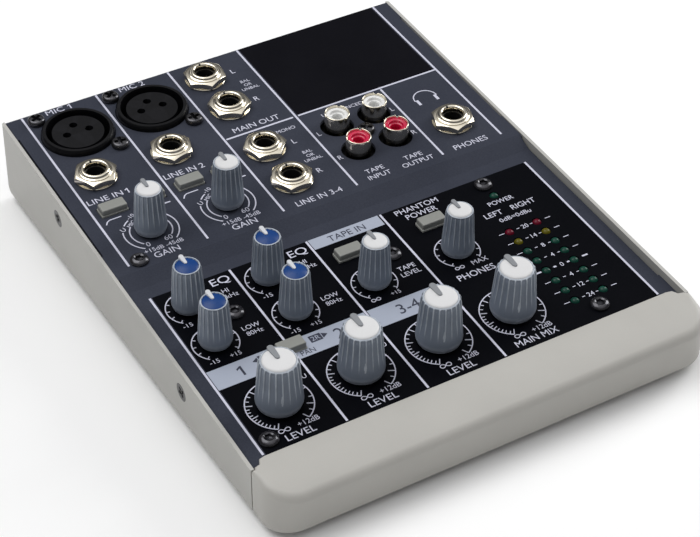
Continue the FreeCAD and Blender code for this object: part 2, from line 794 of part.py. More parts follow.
def make_jacks():
    """Quarter-inch jacks: moulded body, threaded bushing, hex nut and washer."""
    blocks = []
    bushings = []
    nuts = []
    washers = []
    for index, (u, v) in enumerate(jack_centres):
        name = f"jack_{index + 1}"
        block = box(name + "_block", "jack_block", "jack_block", "rear_board - panel_sheet",
                    (u, v, "-rear_board"))
        seat = cylinder(name + "_seat", "jack_thread + 0.02", "jack_sink",
                        (u, v, "-jack_sink"))
        cavity = cylinder(name + "_cavity", "jack_cavity", "jack_depth", (u, v, "-jack_depth"))
        blocks.append(cut(name, block, seat, cavity))
        tube = ring(name + "_tube", "jack_thread", "jack_bore", "jack_sink + jack_rise",
                    (u, v, "-jack_sink"))
        mouth = cone(name + "_mouth", "jack_bore", "jack_bore + 0.9", "0.7",
                     (u, v, "jack_rise - 0.7"))
        bushings.append(cut(name + "_bushing", tube, mouth))
        hexagon = doc.addObject("Part::Prism", name + "_hexagon")
        hexagon.Polygon = 6
        bind(hexagon, Circumradius="nut_flats / 2 / cos(30)", Height="nut_height", FirstAngle="0")
        at(hexagon, (u, v, "washer_height"))
        hexagon.Placement.Rotation = FreeCAD.Rotation(FreeCAD.Vector(0, 0, 1), 12 * index)
        dome = cone(name + "_dome", "nut_flats / 2 + nut_height * 1.6", "nut_flats / 2 + 0.05",
                    "nut_height", (u, v, "washer_height"))
        thread = cylinder(name + "_thread", "jack_thread + 0.05", "nut_height",
                          (u, v, "washer_height"))
        nuts.append(cut(name + "_nut", common(name + "_nut_solid", hexagon, dome), thread))
        washers.append(ring(name + "_washer", "washer_radius", "jack_thread + 0.05",
                            "washer_height", (u, v, "0")))
    keep("jack_bodies", group("jack_block_set", blocks), panel_frame())
    keep("jack_bushings", group("jack_bushing_set", bushings), panel_frame())
    keep("jack_nuts", group("jack_nut_set", nuts), panel_frame())
    keep("jack_washers", group("jack_washer_set", washers), panel_frame())


def make_rcas():
    """Four phono sockets in one moulded block, each in a round window of the panel."""
    floor = "-rca_recess"
    block = box("rca_lump", "rca_pitch + 13", "rca_pitch + 13", "rear_board - rca_recess",
                (*rca_screw, "-rear_board"))
    boss = cylinder("rca_boss", "2.9", "rca_recess - panel_sheet", (*rca_screw, floor))
    tapped = cylinder("rca_tap", "screw_shank + 0.05", "8", (*rca_screw, "-8.5"))
    keep("rca_housing", cut("rca_housing_cut", fuse("rca_lump_solid", block, boss), tapped),
         panel_frame())
    shells = [
        ring(f"rca_shell_{n}", "rca_shell", "rca_shell - rca_shell_wall",
             "rca_rise + rca_recess", (u, v, floor))
        for n, (u, v) in enumerate(rca_left + rca_right)
    ]
    keep("rca_shells", group("rca_shell_set", shells), panel_frame())
    for colour, centres in (("white", rca_left), ("red", rca_right)):
        inserts = [
            cut(f"rca_{colour}_{n}",
                cylinder(f"rca_{colour}_{n}_plug", "rca_shell - rca_shell_wall - 0.02",
                         "rca_rise + rca_recess - 0.6", (u, v, floor)),
                cylinder(f"rca_{colour}_{n}_hole", "rca_core", "rca_rise + rca_recess - 2",
                         (u, v, f"{floor} + 1.4")))
            for n, (u, v) in enumerate(centres)
        ]
        keep(f"rca_inserts_{colour}", group(f"rca_{colour}_set", inserts), panel_frame())


def make_inlet():
    """Power inlet in the rear wall: a round socket with a centre pin."""
    flat = FreeCAD.Rotation(FreeCAD.Vector(1, 0, 0), -90)
    pieces = {
        "barrel": cylinder("inlet_barrel", "inlet_radius", "12.6"),
        "rim": cylinder("inlet_rim", "inlet_radius + 1.4", "1"),
        "bore": cylinder("inlet_bore_tool", "inlet_bore", "9"),
        "pin": cylinder("inlet_pin", "1.05", "9"),
    }
    starts = {"barrel": "-11", "rim": "1.6", "bore": "-6.4", "pin": "-7.4"}
    for name, piece in pieces.items():
        piece.Placement = FreeCAD.Placement(FreeCAD.Vector(0, 0, 0), flat)
        at(piece, ("inlet_u", starts[name], "-inlet_w"))
    outer = fuse("inlet_outer", pieces["barrel"], pieces["rim"])
    shell = cut("inlet_shell", outer, pieces["bore"])
    keep("power_inlet", fuse("inlet_solid", shell, pieces["pin"]), panel_frame())


def make_leds():
    """Round lamps that stand on the board and peek through the panel."""
    for name, points in led_points.items():
        lamps = []
        for index, (u, v) in enumerate(points):
            stem = f"{name}_{index}"
            top = f"-panel_drop + led_rise - led_radius"
            barrel = cylinder(stem + "_barrel", "led_radius", f"{top} + 8", (u, v, "-8"))
            dome = bind(doc.addObject("Part::Sphere", stem + "_dome"), Radius="led_radius")
            at(dome, (u, v, top))
            legs = [
                box(f"{stem}_leg{n}", "led_leg", "led_leg", "front_board - 7.5",
                    (f"{u} + {shift}", v, "-front_board"))
                for n, shift in enumerate(("-0.9", "0.9"))
            ]
            lamps.append(fuse(stem, barrel, dome, *legs))
        keep(name, group(name + "_set", lamps), panel_frame())


# ---------------------------------------------------------------- controls
KNOB_SIZES = {
    "small": ("small_foot", "small_skirt", "small_neck", "small_cap", "small_top"),
    "blue": ("small_foot", "small_skirt", "small_neck", "blue_cap", "small_top"),
    "large": ("large_foot", "large_skirt", "large_neck", "large_cap", "large_top"),
}


def make_pots():
    """Rotary potentiometer bodies under the panel, one to a knob."""
    bodies = []
    for name, u, v, _ in KNOBS:
        floor = "-rear_board" if on_rear(v) else "-front_board"
        block = box(name + "_pot_block", "pot_side", "pot_side + 1", "pot_height", (u, v, floor))
        socket = cylinder(name + "_pot_hole", "shaft_radius + shaft_play", "pot_height - 1",
                          (u, v, f"{floor} + 1"))
        bodies.append(cut(name + "_pot", block, socket))
    keep("pot_bodies", group("pot_set", bodies), panel_frame())


def make_knob(name, u, v, kind):
    """One knob on its shaft, and the cap that carries the pointer. The pointer is up."""
    foot, skirt, neck, cap, top = KNOB_SIZES[kind]
    level = 0 if on_rear(v) else -size_of("panel_drop")
    place = panel_frame(place_of(u), place_of(v), level)
    seat = f"{top} - cap_height"
    rim = f"{top} - rim_drop"
    shell = new_body(name + "_shell")
    revolve(shell, name + "_turned", [
        ("shaft_radius", "knob_lift"),
        (foot, "knob_lift"),
        (skirt, "knob_lift + skirt_rise"),
        (neck, f"{top} - shoulder"),
        (f"{cap} + rim_wide", rim),
        (f"{cap} + 0.02", rim),
        (f"{cap} + 0.02", seat),
        ("0", seat),
        ("0", f"{seat} - 2"),
        ("shaft_radius", f"{seat} - 2"),
    ])
    ridge_wide = "large_pointer" if kind == "large" else "small_pointer"
    reach = f"({cap} + pointer_overhang - 0.3)"
    ridge = (reach, "cap_height + pointer_rise - 0.5", ("0", f"0.3 + {reach} / 2", f"{seat} + 0.5"))
    notch = box(name + "_notch", ridge_wide + " + 0.04", *ridge)
    depth = "rear_board - 1.5" if on_rear(v) else "front_board - panel_drop - 1.5"
    shaft = cylinder(name + "_shaft", "shaft_radius", f"{depth} + {seat} - 2", (0, 0, f"-({depth})"))
    notched = cut(name + "_notched", shell, notch)
    keep(name + "_knob", group(name + "_turning", [notched, shaft]), place)
    disc = new_body(name + "_disc")
    if kind == "blue":
        edge = [(cap, seat), (cap, f"{seat} + 0.3"), (f"{cap} * 0.86", f"{seat} + blue_dome * 0.6"),
                (f"{cap} * 0.55", f"{seat} + blue_dome * 0.9"), ("0", f"{seat} + blue_dome")]
    else:
        edge = [(cap, seat), (cap, f"{top} - 0.4"), (f"{cap} - 0.4", top), ("0", top)]
    revolve(disc, name + "_cap_turned", [("0", seat)] + edge)
    keep(name + "_cap", fuse(name + "_marked", disc, box(name + "_ridge", ridge_wide, *ridge)), place)


def place_of(text):
    """Work out a layout expression made of sheet words and numbers joined by + and -."""
    total = 0.0
    sign = 1
    for token in text.split():
        if token in "+-":
            sign = 1 if token == "+" else -1
            continue
        total += sign * (size_of(token) if token in DIMENSIONS else float(token))
    return total


def make_switches():
    """Push switches under the panel, each with a square well for its button's stem."""
    bodies = []
    for name, u, v, raised in BUTTONS:
        floor = "-rear_board" if raised else "-front_board"
        tall = f"-switch_top - ({floor})"
        block = box(name + "_case", "switch_side", "switch_side", tall, (u, v, floor))
        well = box(name + "_well", "stem_hole", "stem_hole", tall, (u, v, f"{floor} + 0.6"))
        bodies.append(cut(name + "_switch", block, well))
    keep("switch_bodies", group("switch_set", bodies), panel_frame())


def rectangle(body, name, wide, deep, level):
    """A sketched rectangle about the body's Z axis, at a height."""
    corners = [(-1, -1), (1, -1), (1, 1), (-1, 1)]
    sketch = outline(body, name, "XY_Plane",
                     [(f"{x} * ({wide}) / 2", f"{y} * ({deep}) / 2") for x, y in corners])
    sketch.setExpression("AttachmentOffset.Base.z", cells(level))
    return sketch


def make_button(name, u, v, raised):
    """A bevelled push button on a thin flange, with the stem that works its switch."""
    level = 0 if raised else -size_of("panel_drop")
    button = new_body(name + "_body")
    flange = rectangle(button, name + "_flange_face", "button_wide", "button_deep", "-button_sink")
    pad(button, name + "_flange", flange, "button_sink + button_flange", "One side")
    face = rectangle(button, name + "_face", "button_wide - 2 * button_step",
                     "button_deep - 2 * button_step", "button_flange")
    pad(button, name + "_block", face, "button_rise - button_flange", "One side")
    stem = rectangle(button, name + "_stem_face", "stem_side", "stem_side", "-button_sink")
    length = "rear_board - button_sink - 4" if raised else "front_board - panel_drop - button_sink - 3.2"
    pad(button, name + "_stem", stem, length, "One side", True)
    crown = size_of("button_rise")
    round_edges(button, name + "_crown", "button_bevel",
                lambda edge: abs(edge.BoundBox.ZMin - crown) < 0.01)
    keep(name + "_button", button, panel_frame(place_of(u), place_of(v), level))


# ---------------------------------------------------------------- build and save
def build():
    make_tray()
    make_panel()
    make_nose()
    make_feet()
    make_side_screws()
    make_boards()
    make_standoffs()
    make_screws()
    make_xlrs()
    make_jacks()
    make_rcas()
    make_inlet()
    make_leds()
    make_pots()
    make_switches()
    for knob in KNOBS:
        make_knob(*knob)
    for button in BUTTONS:
        make_button(*button)
    doc.recompute()


def check():
    for thing in doc.Objects:
        faults = {"Invalid", "Error"} & set(thing.State)
        if faults:
            raise RuntimeError(f"{thing.Name} is {faults}")
    for node in nodes:
        if node.Shape.isNull() or not node.Shape.isValid():
            raise RuntimeError(f"{node.Label} has a bad shape")


def save():
    os.makedirs("parts", exist_ok=True)
    for node in nodes:
        node.Shape.exportStep(f"parts/{node.Label}.step")
        print(f"{node.Label}: {len(node.Shape.Solids)} solid(s), {node.Shape.Volume:.0f} mm3")
    print(len(nodes), "nodes")


build()
check()
save()
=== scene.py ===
"""Looks of a compact mixing console, built round its CAD frame."""

import math

import bmesh
import bpy
from mathutils import Matrix, Vector


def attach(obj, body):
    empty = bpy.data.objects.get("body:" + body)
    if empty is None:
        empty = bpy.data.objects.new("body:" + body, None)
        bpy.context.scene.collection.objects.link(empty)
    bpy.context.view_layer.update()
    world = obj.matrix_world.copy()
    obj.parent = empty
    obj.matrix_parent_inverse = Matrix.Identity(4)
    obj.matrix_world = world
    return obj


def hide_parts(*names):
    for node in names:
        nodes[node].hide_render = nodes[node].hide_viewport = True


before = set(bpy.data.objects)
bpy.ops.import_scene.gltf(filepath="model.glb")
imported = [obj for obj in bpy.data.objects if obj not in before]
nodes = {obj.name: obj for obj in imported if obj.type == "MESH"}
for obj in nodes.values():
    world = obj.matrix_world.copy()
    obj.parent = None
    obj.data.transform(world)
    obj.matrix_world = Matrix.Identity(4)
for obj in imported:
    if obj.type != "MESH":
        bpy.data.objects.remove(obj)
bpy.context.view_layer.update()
scene = bpy.context.scene
scene.view_settings.view_transform = "Standard"

# All shapes are in mm. WORLD takes them to Blender's metres, and PANEL does that from the
# panel frame: u to the right, v up the slope, w out of the panel, with the middle of the
# panel's rear edge as its origin. In front of v = RAMP the panel lies at w = LOW.
MM = 0.001
SLOPE = math.radians(4.53)
REAR_EDGE = (0, 92.5 * MM, 32.2 * MM)
LOW = -1.92
RAMP = -90.0
WORLD = Matrix.Scale(MM, 4)
PANEL = Matrix.Translation(REAR_EDGE) @ Matrix.Rotation(SLOPE, 4, "X") @ WORLD
CHANNEL_PITCH = 26.5
LAMP_PITCH = 5.08

# The panel's two black printed fields, each as its centre (u, v) and its half width and length.
CONTROL_FIELD = (0.1, -134.6, 66.2, 36.6)
BLANK_FIELD = (39.6, -21.8, 26.3, 21.2)


# ------------------------------------------------------------------ materials
def linear(colour):
    """An sRGB colour of 0 to 255 as Blender's linear RGBA."""
    out = []
    for value in colour:
        c = value / 255
        out.append(c / 12.92 if c <= 0.04045 else ((c + 0.055) / 1.055) ** 2.4)
    return (*out, 1)


class Nodes:
    """A short way to add and wire shader nodes of one material."""

    def __init__(self, name):
        self.material = bpy.data.materials.new(name)
        self.material.use_nodes = True
        self.tree = self.material.node_tree
        self.shader = self.tree.nodes["Principled BSDF"]
        self.object = self.add("ShaderNodeTexCoord").outputs["Object"]

    def add(self, kind, inputs=(), **settings):
        node = self.tree.nodes.new(kind)
        for key, value in settings.items():
            setattr(node, key, value)
        for key, value in dict(inputs).items():
            self.feed(node.inputs[key], value)
        return node

    def feed(self, socket, value):
        if isinstance(value, bpy.types.NodeSocket):
            self.tree.links.new(value, socket)
        else:
            socket.default_value = value

    def math(self, operation, a, b, c=0.0):
        inputs = {0: a, 1: b, 2: c}
        return self.add("ShaderNodeMath", inputs, operation=operation).outputs[0]

    def noise(self, scale, detail=4.0, rough=0.55):
        inputs = {"Vector": self.object, "Scale": scale, "Detail": detail, "Roughness": rough}
        return self.add("ShaderNodeTexNoise", inputs).outputs["Fac"]

    def spread(self, value, low, high, start=0.3, end=0.7):
        inputs = {"Value": value, "From Min": start, "From Max": end, "To Min": low,
                  "To Max": high}
        return self.add("ShaderNodeMapRange", inputs).outputs["Result"]

    def mix(self, factor, a, b):
        node = self.add("ShaderNodeMix", data_type="RGBA")
        self.feed(node.inputs["Factor"], factor)
        self.feed(node.inputs[6], a)
        self.feed(node.inputs[7], b)
        return node.outputs[2]


def shade(colour, by):
    return (*(min(1.0, c * by) for c in colour[:3]), 1)


def finish(name, colour, rough=0.5, metal=0.0, tint=0.07, patch=45.0, grain=1600.0,
           bump=0.25, depth=0.03, coat=0.0, edge_lightening=0.0, edge_tone=None, swing=0.08, shine=0.5,
           ridge=0.56):
    """A procedural finish: broad and fine colour change, uneven gloss, texture and lightened
    pointed edges, which on some parts are a painted highlight.

    tint is how far the colour swings, patch and grain are the scales of the broad and the fine
    noise, depth is the height of the texture in mm, and ridge is the pointiness at which an edge
    is fully lightened.
    """
    n = Nodes(name)
    base = linear(colour)
    broad = n.noise(patch, 3.0)
    fine = n.noise(grain, 5.0, 0.6)
    uneven = n.math("ADD", n.math("MULTIPLY", broad, 0.65), n.math("MULTIPLY", fine, 0.35))
    blotch = n.spread(uneven, 0.0, 1.0, 0.38, 0.62)
    tone = n.mix(blotch, shade(base, 1 - tint), shade(base, 1 + tint))
    # Pointed edges are lightened here. On the knobs' rib crests this is a painted highlight; on
    # the black screw heads' rims it is partly wear and partly a painted highlight.
    if edge_lightening:
        edge = n.add("ShaderNodeNewGeometry").outputs["Pointiness"]
        lightened_edges = n.math("MULTIPLY", n.spread(edge, 0.0, edge_lightening, 0.505, ridge),
                        n.spread(n.noise(400.0, 3.0), 0.45, 1.0))
        tone = n.mix(lightened_edges, tone, linear(edge_tone) if edge_tone else shade(base, 1.6))
    n.feed(n.shader.inputs["Base Color"], tone)
    n.feed(n.shader.inputs["Roughness"], n.spread(fine, rough - swing, rough + swing))
    n.shader.inputs["Metallic"].default_value = metal
    n.shader.inputs["Specular IOR Level"].default_value = shine
    if coat:
        n.shader.inputs["Coat Weight"].default_value = coat
        n.shader.inputs["Coat Roughness"].default_value = 0.12
    relief = n.add("ShaderNodeBump", {"Height": fine, "Strength": bump, "Distance": depth * MM})
    n.feed(n.shader.inputs["Normal"], relief.outputs["Normal"])
    return n.material


def panel_finish():
    """Charcoal powder coat with the two black printed fields, laid out in the panel frame."""
    n = Nodes("panel_coat")
    place = n.add("ShaderNodeMapping", {
        "Vector": n.object, "Location": REAR_EDGE, "Rotation": (SLOPE, 0, 0),
        "Scale": (MM, MM, MM)}, vector_type="TEXTURE")
    axes = n.add("ShaderNodeSeparateXYZ", {0: place.outputs[0]}).outputs
    masks = []
    for u, v, half_wide, half_long in (CONTROL_FIELD, BLANK_FIELD):
        across = n.math("COMPARE", axes["X"], u, half_wide)
        along = n.math("COMPARE", axes["Y"], v, half_long)
        above = n.math("GREATER_THAN", axes["Z"], LOW - 0.4)
        masks.append(n.math("MULTIPLY", n.math("MULTIPLY", across, along), above))
    broad = n.noise(35.0, 3.0)
    fine = n.noise(1900.0, 4.0, 0.6)
    speck = n.noise(5200.0, 2.0)
    uneven = n.math("ADD", n.math("MULTIPLY", broad, 0.5), n.math("MULTIPLY", fine, 0.5))
    cloud = n.spread(uneven, 0.0, 1.0, 0.38, 0.62)
    coat = n.mix(cloud, linear((52, 55, 65)), linear((60, 63, 73)))
    coat = n.mix(n.spread(speck, 0.0, 0.5, 0.62, 0.75), coat, linear((76, 80, 90)))
    ink = n.mix(cloud, linear((4, 5, 9)), linear((8, 9, 14)))
    blank_ink = n.mix(cloud, linear((12, 12, 17)), linear((18, 18, 23)))
    tone = n.mix(masks[0], coat, ink)
    tone = n.mix(masks[1], tone, blank_ink)
    n.feed(n.shader.inputs["Base Color"], tone)
    printed = n.math("ADD", masks[0], masks[1])
    n.feed(n.shader.inputs["Roughness"],
           n.math("SUBTRACT", n.spread(fine, 0.44, 0.6), n.math("MULTIPLY", printed, 0.1)))
    relief = n.add("ShaderNodeBump", {"Height": fine, "Strength": 0.3, "Distance": 0.035 * MM})
    n.feed(n.shader.inputs["Normal"], relief.outputs["Normal"])
    n.shader.inputs["Specular IOR Level"].default_value = 0.03
    return n.material


def board_finish():
    """Green solder mask over copper tracks."""
    n = Nodes("board_mask")
    bricks = n.add("ShaderNodeTexBrick", {"Vector": n.object, "Scale": 300.0,
                                          "Mortar Size": 0.02}).outputs["Fac"]
    tracks = n.math("MULTIPLY", bricks, n.spread(n.noise(120.0), 0.0, 1.0, 0.45, 0.55))
    tone = n.mix(tracks, linear((16, 62, 34)), linear((44, 104, 58)))
    n.feed(n.shader.inputs["Base Color"], tone)
    n.feed(n.shader.inputs["Roughness"], n.spread(n.noise(900.0), 0.28, 0.42))
    relief = n.add("ShaderNodeBump", {"Height": tracks, "Strength": 0.4, "Distance": 0.04 * MM})
    n.feed(n.shader.inputs["Normal"], relief.outputs["Normal"])
    return n.material


def floor_finish():
    n = Nodes("pale_floor")
    cloud = n.spread(n.noise(3.0), 0.0, 1.0)
    n.feed(n.shader.inputs["Base Color"],
           n.mix(cloud, linear((246, 246, 245)), linear((250, 250, 249))))
    n.feed(n.shader.inputs["Roughness"], n.spread(n.noise(60.0), 0.75, 0.85))
    return n.material


NICKEL = dict(metal=1.0, tint=0.03, grain=3000.0, bump=0.05, depth=0.004, swing=0.03)
FINISHES = {
    "case_paint": finish("case_coat", (178, 177, 172), 0.5, grain=2600.0, tint=0.035,
                         bump=0.3, depth=0.03),
    "panel_paint": panel_finish(),
    "bumper_plastic": finish("bumper_moulding", (179, 177, 171), 0.46, tint=0.03, grain=2300.0,
                             bump=0.22, depth=0.03, edge_lightening=0.2, edge_tone=(206, 204, 198)),
    "rubber": finish("foot_rubber", (26, 26, 27), 0.8, bump=0.5, depth=0.08),
    "case_screw": finish("side_screw_steel", (74, 74, 75), 0.36, 0.8, tint=0.15, bump=0.15),
    "board": board_finish(),
    "black_plastic": finish("black_moulding", (6, 6, 8), 0.34, tint=0.12, grain=2200.0,
                            bump=0.12, depth=0.015, edge_lightening=0.15, edge_tone=(52, 52, 58), shine=0.17),
    "plain_steel": finish("zinc_steel", (168, 170, 172), 0.35, 1.0),
    # The black screws' lighter rims are partly wear and partly a painted highlight.
    "black_screw": finish("blackened_steel", (66, 66, 70), 0.2, 0.85, tint=0.2, bump=0.1,
                          edge_lightening=0.3, edge_tone=(130, 128, 128)),
    "contact": finish("tinned_contact", (206, 178, 106), 0.28, **NICKEL),
    "nickel": finish("bright_nickel", (236, 228, 208), 0.17, **NICKEL),
    "white_plastic": finish("white_insert", (232, 232, 230), 0.28, tint=0.03, coat=0.3, bump=0.1),
    "red_plastic": finish("red_insert", (198, 18, 66), 0.28, tint=0.08, coat=0.3, bump=0.1),
    "red_lens": finish("red_lens", (96, 7, 31), 0.24, tint=0.2, grain=1100.0, shine=0.2, bump=0.1),
    "yellow_lens": finish("yellow_lens", (90, 84, 10), 0.24, tint=0.2, grain=1100.0, shine=0.2,
                          bump=0.1),
    "green_lens": finish("green_lens", (15, 62, 50), 0.24, tint=0.2, grain=1100.0, shine=0.2,
                         bump=0.1),
    "pot_case": finish("pot_steel", (140, 140, 136), 0.4, 0.9),
    # The knobs' lightened rib crests are a painted highlight.
    "knob_plastic": finish("knob_moulding", (121, 130, 143), 0.42, tint=0.05, patch=160.0,
                           grain=1500.0, bump=0.1, depth=0.02, edge_lightening=0.9, edge_tone=(190, 197, 205),
                           shine=0.4, ridge=0.53),
    "cap_white": finish("white_cap", (217, 217, 217), 0.42, tint=0.015, bump=0.08, depth=0.015,
                        shine=0.3),
    "cap_blue": finish("blue_cap", (9, 58, 120), 0.34, tint=0.09, bump=0.08, depth=0.015,
                       shine=0.3),
    "button_plastic": finish("button_moulding", (134, 135, 130), 0.45, tint=0.03, bump=0.15,
                             depth=0.02, edge_lightening=0.3, edge_tone=(172, 173, 168)),
}
POINTER_GREY = finish("pointer_grey", (132, 135, 139), 0.45, tint=0.04, bump=0.1)
POINTER_PALE = finish("pointer_pale", (206, 208, 212), 0.42, tint=0.03, bump=0.1)
PRINT = finish("white_print", (198, 199, 214), 0.55, tint=0.04, grain=4200.0, bump=0.15,
               depth=0.01)
BAND = finish("lavender_print", (160, 167, 182), 0.5, tint=0.03, grain=3000.0, bump=0.12,
              depth=0.01)
DARK_PRINT = finish("dark_print", (34, 38, 58), 0.5, tint=0.08, grain=3000.0, bump=0.1,
                    depth=0.01)
# Near-black for dark pieces that paint the shade in the jacks' bores and lip notches.
PAINTED_SHADE = finish("socket_painted_shade", (6, 6, 7), 0.6, tint=0.1, bump=0.1)


# ------------------------------------------------------------------ mesh building
def skin(bm, rings, place=Matrix(), ends="", loop=False, around=True):
    """Faces between rings of points. ends names the ones to close, a first and z last."""
    rows = [[bm.verts.new(place @ Vector(point)) for point in ring] for ring in rings]
    pairs = list(zip(rows, rows[1:]))
    if loop:
        pairs.append((rows[-1], rows[0]))
    for low, high in pairs:
        for i in range(len(low) if around else len(low) - 1):
            j = (i + 1) % len(low)
            bm.faces.new((low[i], low[j], high[j], high[i]))
    if "a" in ends:
        bm.faces.new(rows[0][::-1])
    if "z" in ends:
        bm.faces.new(rows[-1])


def turned(profile, count, cut=None):
    """Rings about the w axis for (radius, height) points, less cut(turn, height)."""
    rings = []
    for radius, height in profile:
        ring = []
        for k in range(count):
            r = radius - (cut(k / count, height) if cut else 0)
            angle = 2 * math.pi * k / count
            ring.append((r * math.cos(angle), r * math.sin(angle), height))
        rings.append(ring)
    return rings


def plate(bm, points, low, high):
    """A flat plate with the given outline, counter-clockwise."""
    skin(bm, [[(x, y, low) for x, y in points], [(x, y, high) for x, y in points]], ends="az")


def rounded(wide, deep, radius, steps=5, u=0.0, v=0.0):
    """Outline of a rectangle with round corners, counter-clockwise."""
    points = []
    for n, (sx, sy) in enumerate(((1, 1), (-1, 1), (-1, -1), (1, -1))):
        for k in range(steps + 1):
            a = math.radians(90 * (n + k / steps))
            points.append((u + sx * (wide / 2 - radius) + radius * math.cos(a),
                           v + sy * (deep / 2 - radius) + radius * math.sin(a)))
    return points


def strip(bm, points, wide, low, high, closed=False):
    """A flat ribbon along a line of (u, v) points."""
    count = len(points)
    rings = []
    for i, (u, v) in enumerate(points):
        before = points[i - 1] if i or closed else points[i]
        after = points[(i + 1) % count] if i + 1 < count or closed else points[i]
        du, dv = after[0] - before[0], after[1] - before[1]
        length = math.hypot(du, dv)
        su, sv = -dv / length * wide / 2, du / length * wide / 2
        rings.append([(u - su, v - sv, low), (u - su, v - sv, high), (u + su, v + sv, high),
                      (u + su, v + sv, low)])
    skin(bm, rings, ends="" if closed else "az", loop=closed)


def arc(u, v, radius, start, end, steps=28):
    """Points of an arc whose angles, in degrees, run clockwise from straight up."""
    turns = [math.radians(start + (end - start) * k / steps) for k in range(steps + 1)]
    return [(u + radius * math.sin(a), v + radius * math.cos(a)) for a in turns]


def piece(name, bm, body, material, stands_for=(), place=PANEL, sharp=36.0):
    """Turn finished mesh work into a named piece that rides on a body."""
    bm.transform(place)
    bmesh.ops.recalc_face_normals(bm, faces=bm.faces)
    for face in bm.faces:
        face.smooth = True
    for edge in bm.edges:
        if len(edge.link_faces) == 2 and edge.calc_face_angle(0) > math.radians(sharp):
            edge.smooth = False
    mesh = bpy.data.meshes.new(name)
    bm.to_mesh(mesh)
    bm.free()
    thing = bpy.data.objects.new(name, mesh)
    scene.collection.objects.link(thing)
    mesh.materials.append(material)
    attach(thing, body)
    if stands_for:
        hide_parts(*stands_for)
    return thing


def soften(thing, wide, weld=False):
    """Round a piece's edges by a width in mm. weld joins the split corners of a CAD mesh."""
    if weld:
        joined = thing.modifiers.new("join", "WELD")
        joined.merge_threshold = 0.001 * MM
    bevel = thing.modifiers.new("round", "BEVEL")
    bevel.width = wide * MM
    bevel.segments = 2
    bevel.limit_method = "ANGLE"
    bevel.angle_limit = math.radians(40)
    bevel.harden_normals = True


def solids(node):
    """Lowest and highest corner of each solid of a CAD node, in the panel frame and mm."""
    bm = bmesh.new()
    bm.from_mesh(nodes[node].data)
    bmesh.ops.remove_doubles(bm, verts=bm.verts, dist=0.001 * MM)
    bm.transform(PANEL.inverted())
    left = set(bm.verts)
    found = []
    while left:
        stack = [left.pop()]
        points = []
        while stack:
            vert = stack.pop()
            points.append(vert.co.copy())
            for edge in vert.link_edges:
                other = edge.other_vert(vert)
                if other in left:
                    left.remove(other)
                    stack.append(other)
        found.append((Vector(map(min, *points)), Vector(map(max, *points))))
    bm.free()
    return sorted(found, key=lambda box: (round(box[0].x), round(box[0].y)))


def centres(node):
    """Centre of each solid of a CAD node, in the panel frame."""
    return [(low + high) / 2 for low, high in solids(node)]


def middle(node):
    """Centre of a whole CAD node in the panel frame, as (u, v)."""
    inverse = PANEL.inverted()
    points = [inverse @ vert.co for vert in nodes[node].data.vertices]
    return [(min(p[k] for p in points) + max(p[k] for p in points)) / 2 for k in (0, 1)]


def level_at(v):
    """Height of the panel at v: the raised rear part or the lower front part."""
    return 0.0 if v > RAMP else LOW


# ------------------------------------------------------------------ camera, light and floor
camera = bpy.data.objects.new("camera", bpy.data.cameras.new("camera"))
scene.collection.objects.link(camera)
camera.location = (-0.23265, -0.43495, 0.38720)
camera.rotation_euler = [math.radians(angle) for angle in (52.065, 1.579, -29.782)]
camera.data.sensor_width = 36.0
camera.data.lens = 101.24
scene.camera = camera


def softbox(name, location, size, power):
    """A rectangular area light that points at the middle of the object, in metres and watts."""
    lamp = bpy.data.lights.new(name, "AREA")
    lamp.shape = "RECTANGLE"
    lamp.size, lamp.size_y = size
    lamp.energy = power
    thing = bpy.data.objects.new(name, lamp)
    scene.collection.objects.link(thing)
    thing.location = location
    towards = Vector((0, 0, 0.02)) - thing.location
    thing.rotation_euler = towards.to_track_quat("-Z", "Y").to_euler()


softbox("key_light", (-0.42, 0.38, 1.24), (1.2, 1.0), 8.8)
softbox("right_light", (1.15, 0.2, 0.6), (0.5, 0.9), 8.0)
world = bpy.data.worlds.new("studio")
world.use_nodes = True
tree = world.node_tree
sky = tree.nodes.new("ShaderNodeValToRGB")
sky.color_ramp.elements[0].color = (0.12, 0.12, 0.125, 1)
sky.color_ramp.elements[0].position = 0.5
sky.color_ramp.elements[1].color = (1.11, 1.11, 1.13, 1)
split = tree.nodes.new("ShaderNodeSeparateXYZ")
tree.links.new(tree.nodes.new("ShaderNodeTexCoord").outputs["Generated"], split.inputs[0])
tree.links.new(split.outputs["Z"], sky.inputs["Fac"])
tree.links.new(sky.outputs["Color"], tree.nodes["Background"].inputs["Color"])
scene.world = world

FLOOR_HALF, FLOOR_THICK = 4000, 8
floor_mesh = bmesh.new()
plate(floor_mesh, [(-FLOOR_HALF, -FLOOR_HALF), (FLOOR_HALF, -FLOOR_HALF),
                   (FLOOR_HALF, FLOOR_HALF), (-FLOOR_HALF, FLOOR_HALF)], -FLOOR_THICK, 0)
floor_mesh.transform(WORLD)
floor_data = bpy.data.meshes.new("floor")
floor_mesh.to_mesh(floor_data)
floor_mesh.free()
floor_data.materials.append(floor_finish())
floor = bpy.data.objects.new("floor", floor_data)
scene.collection.objects.link(floor)

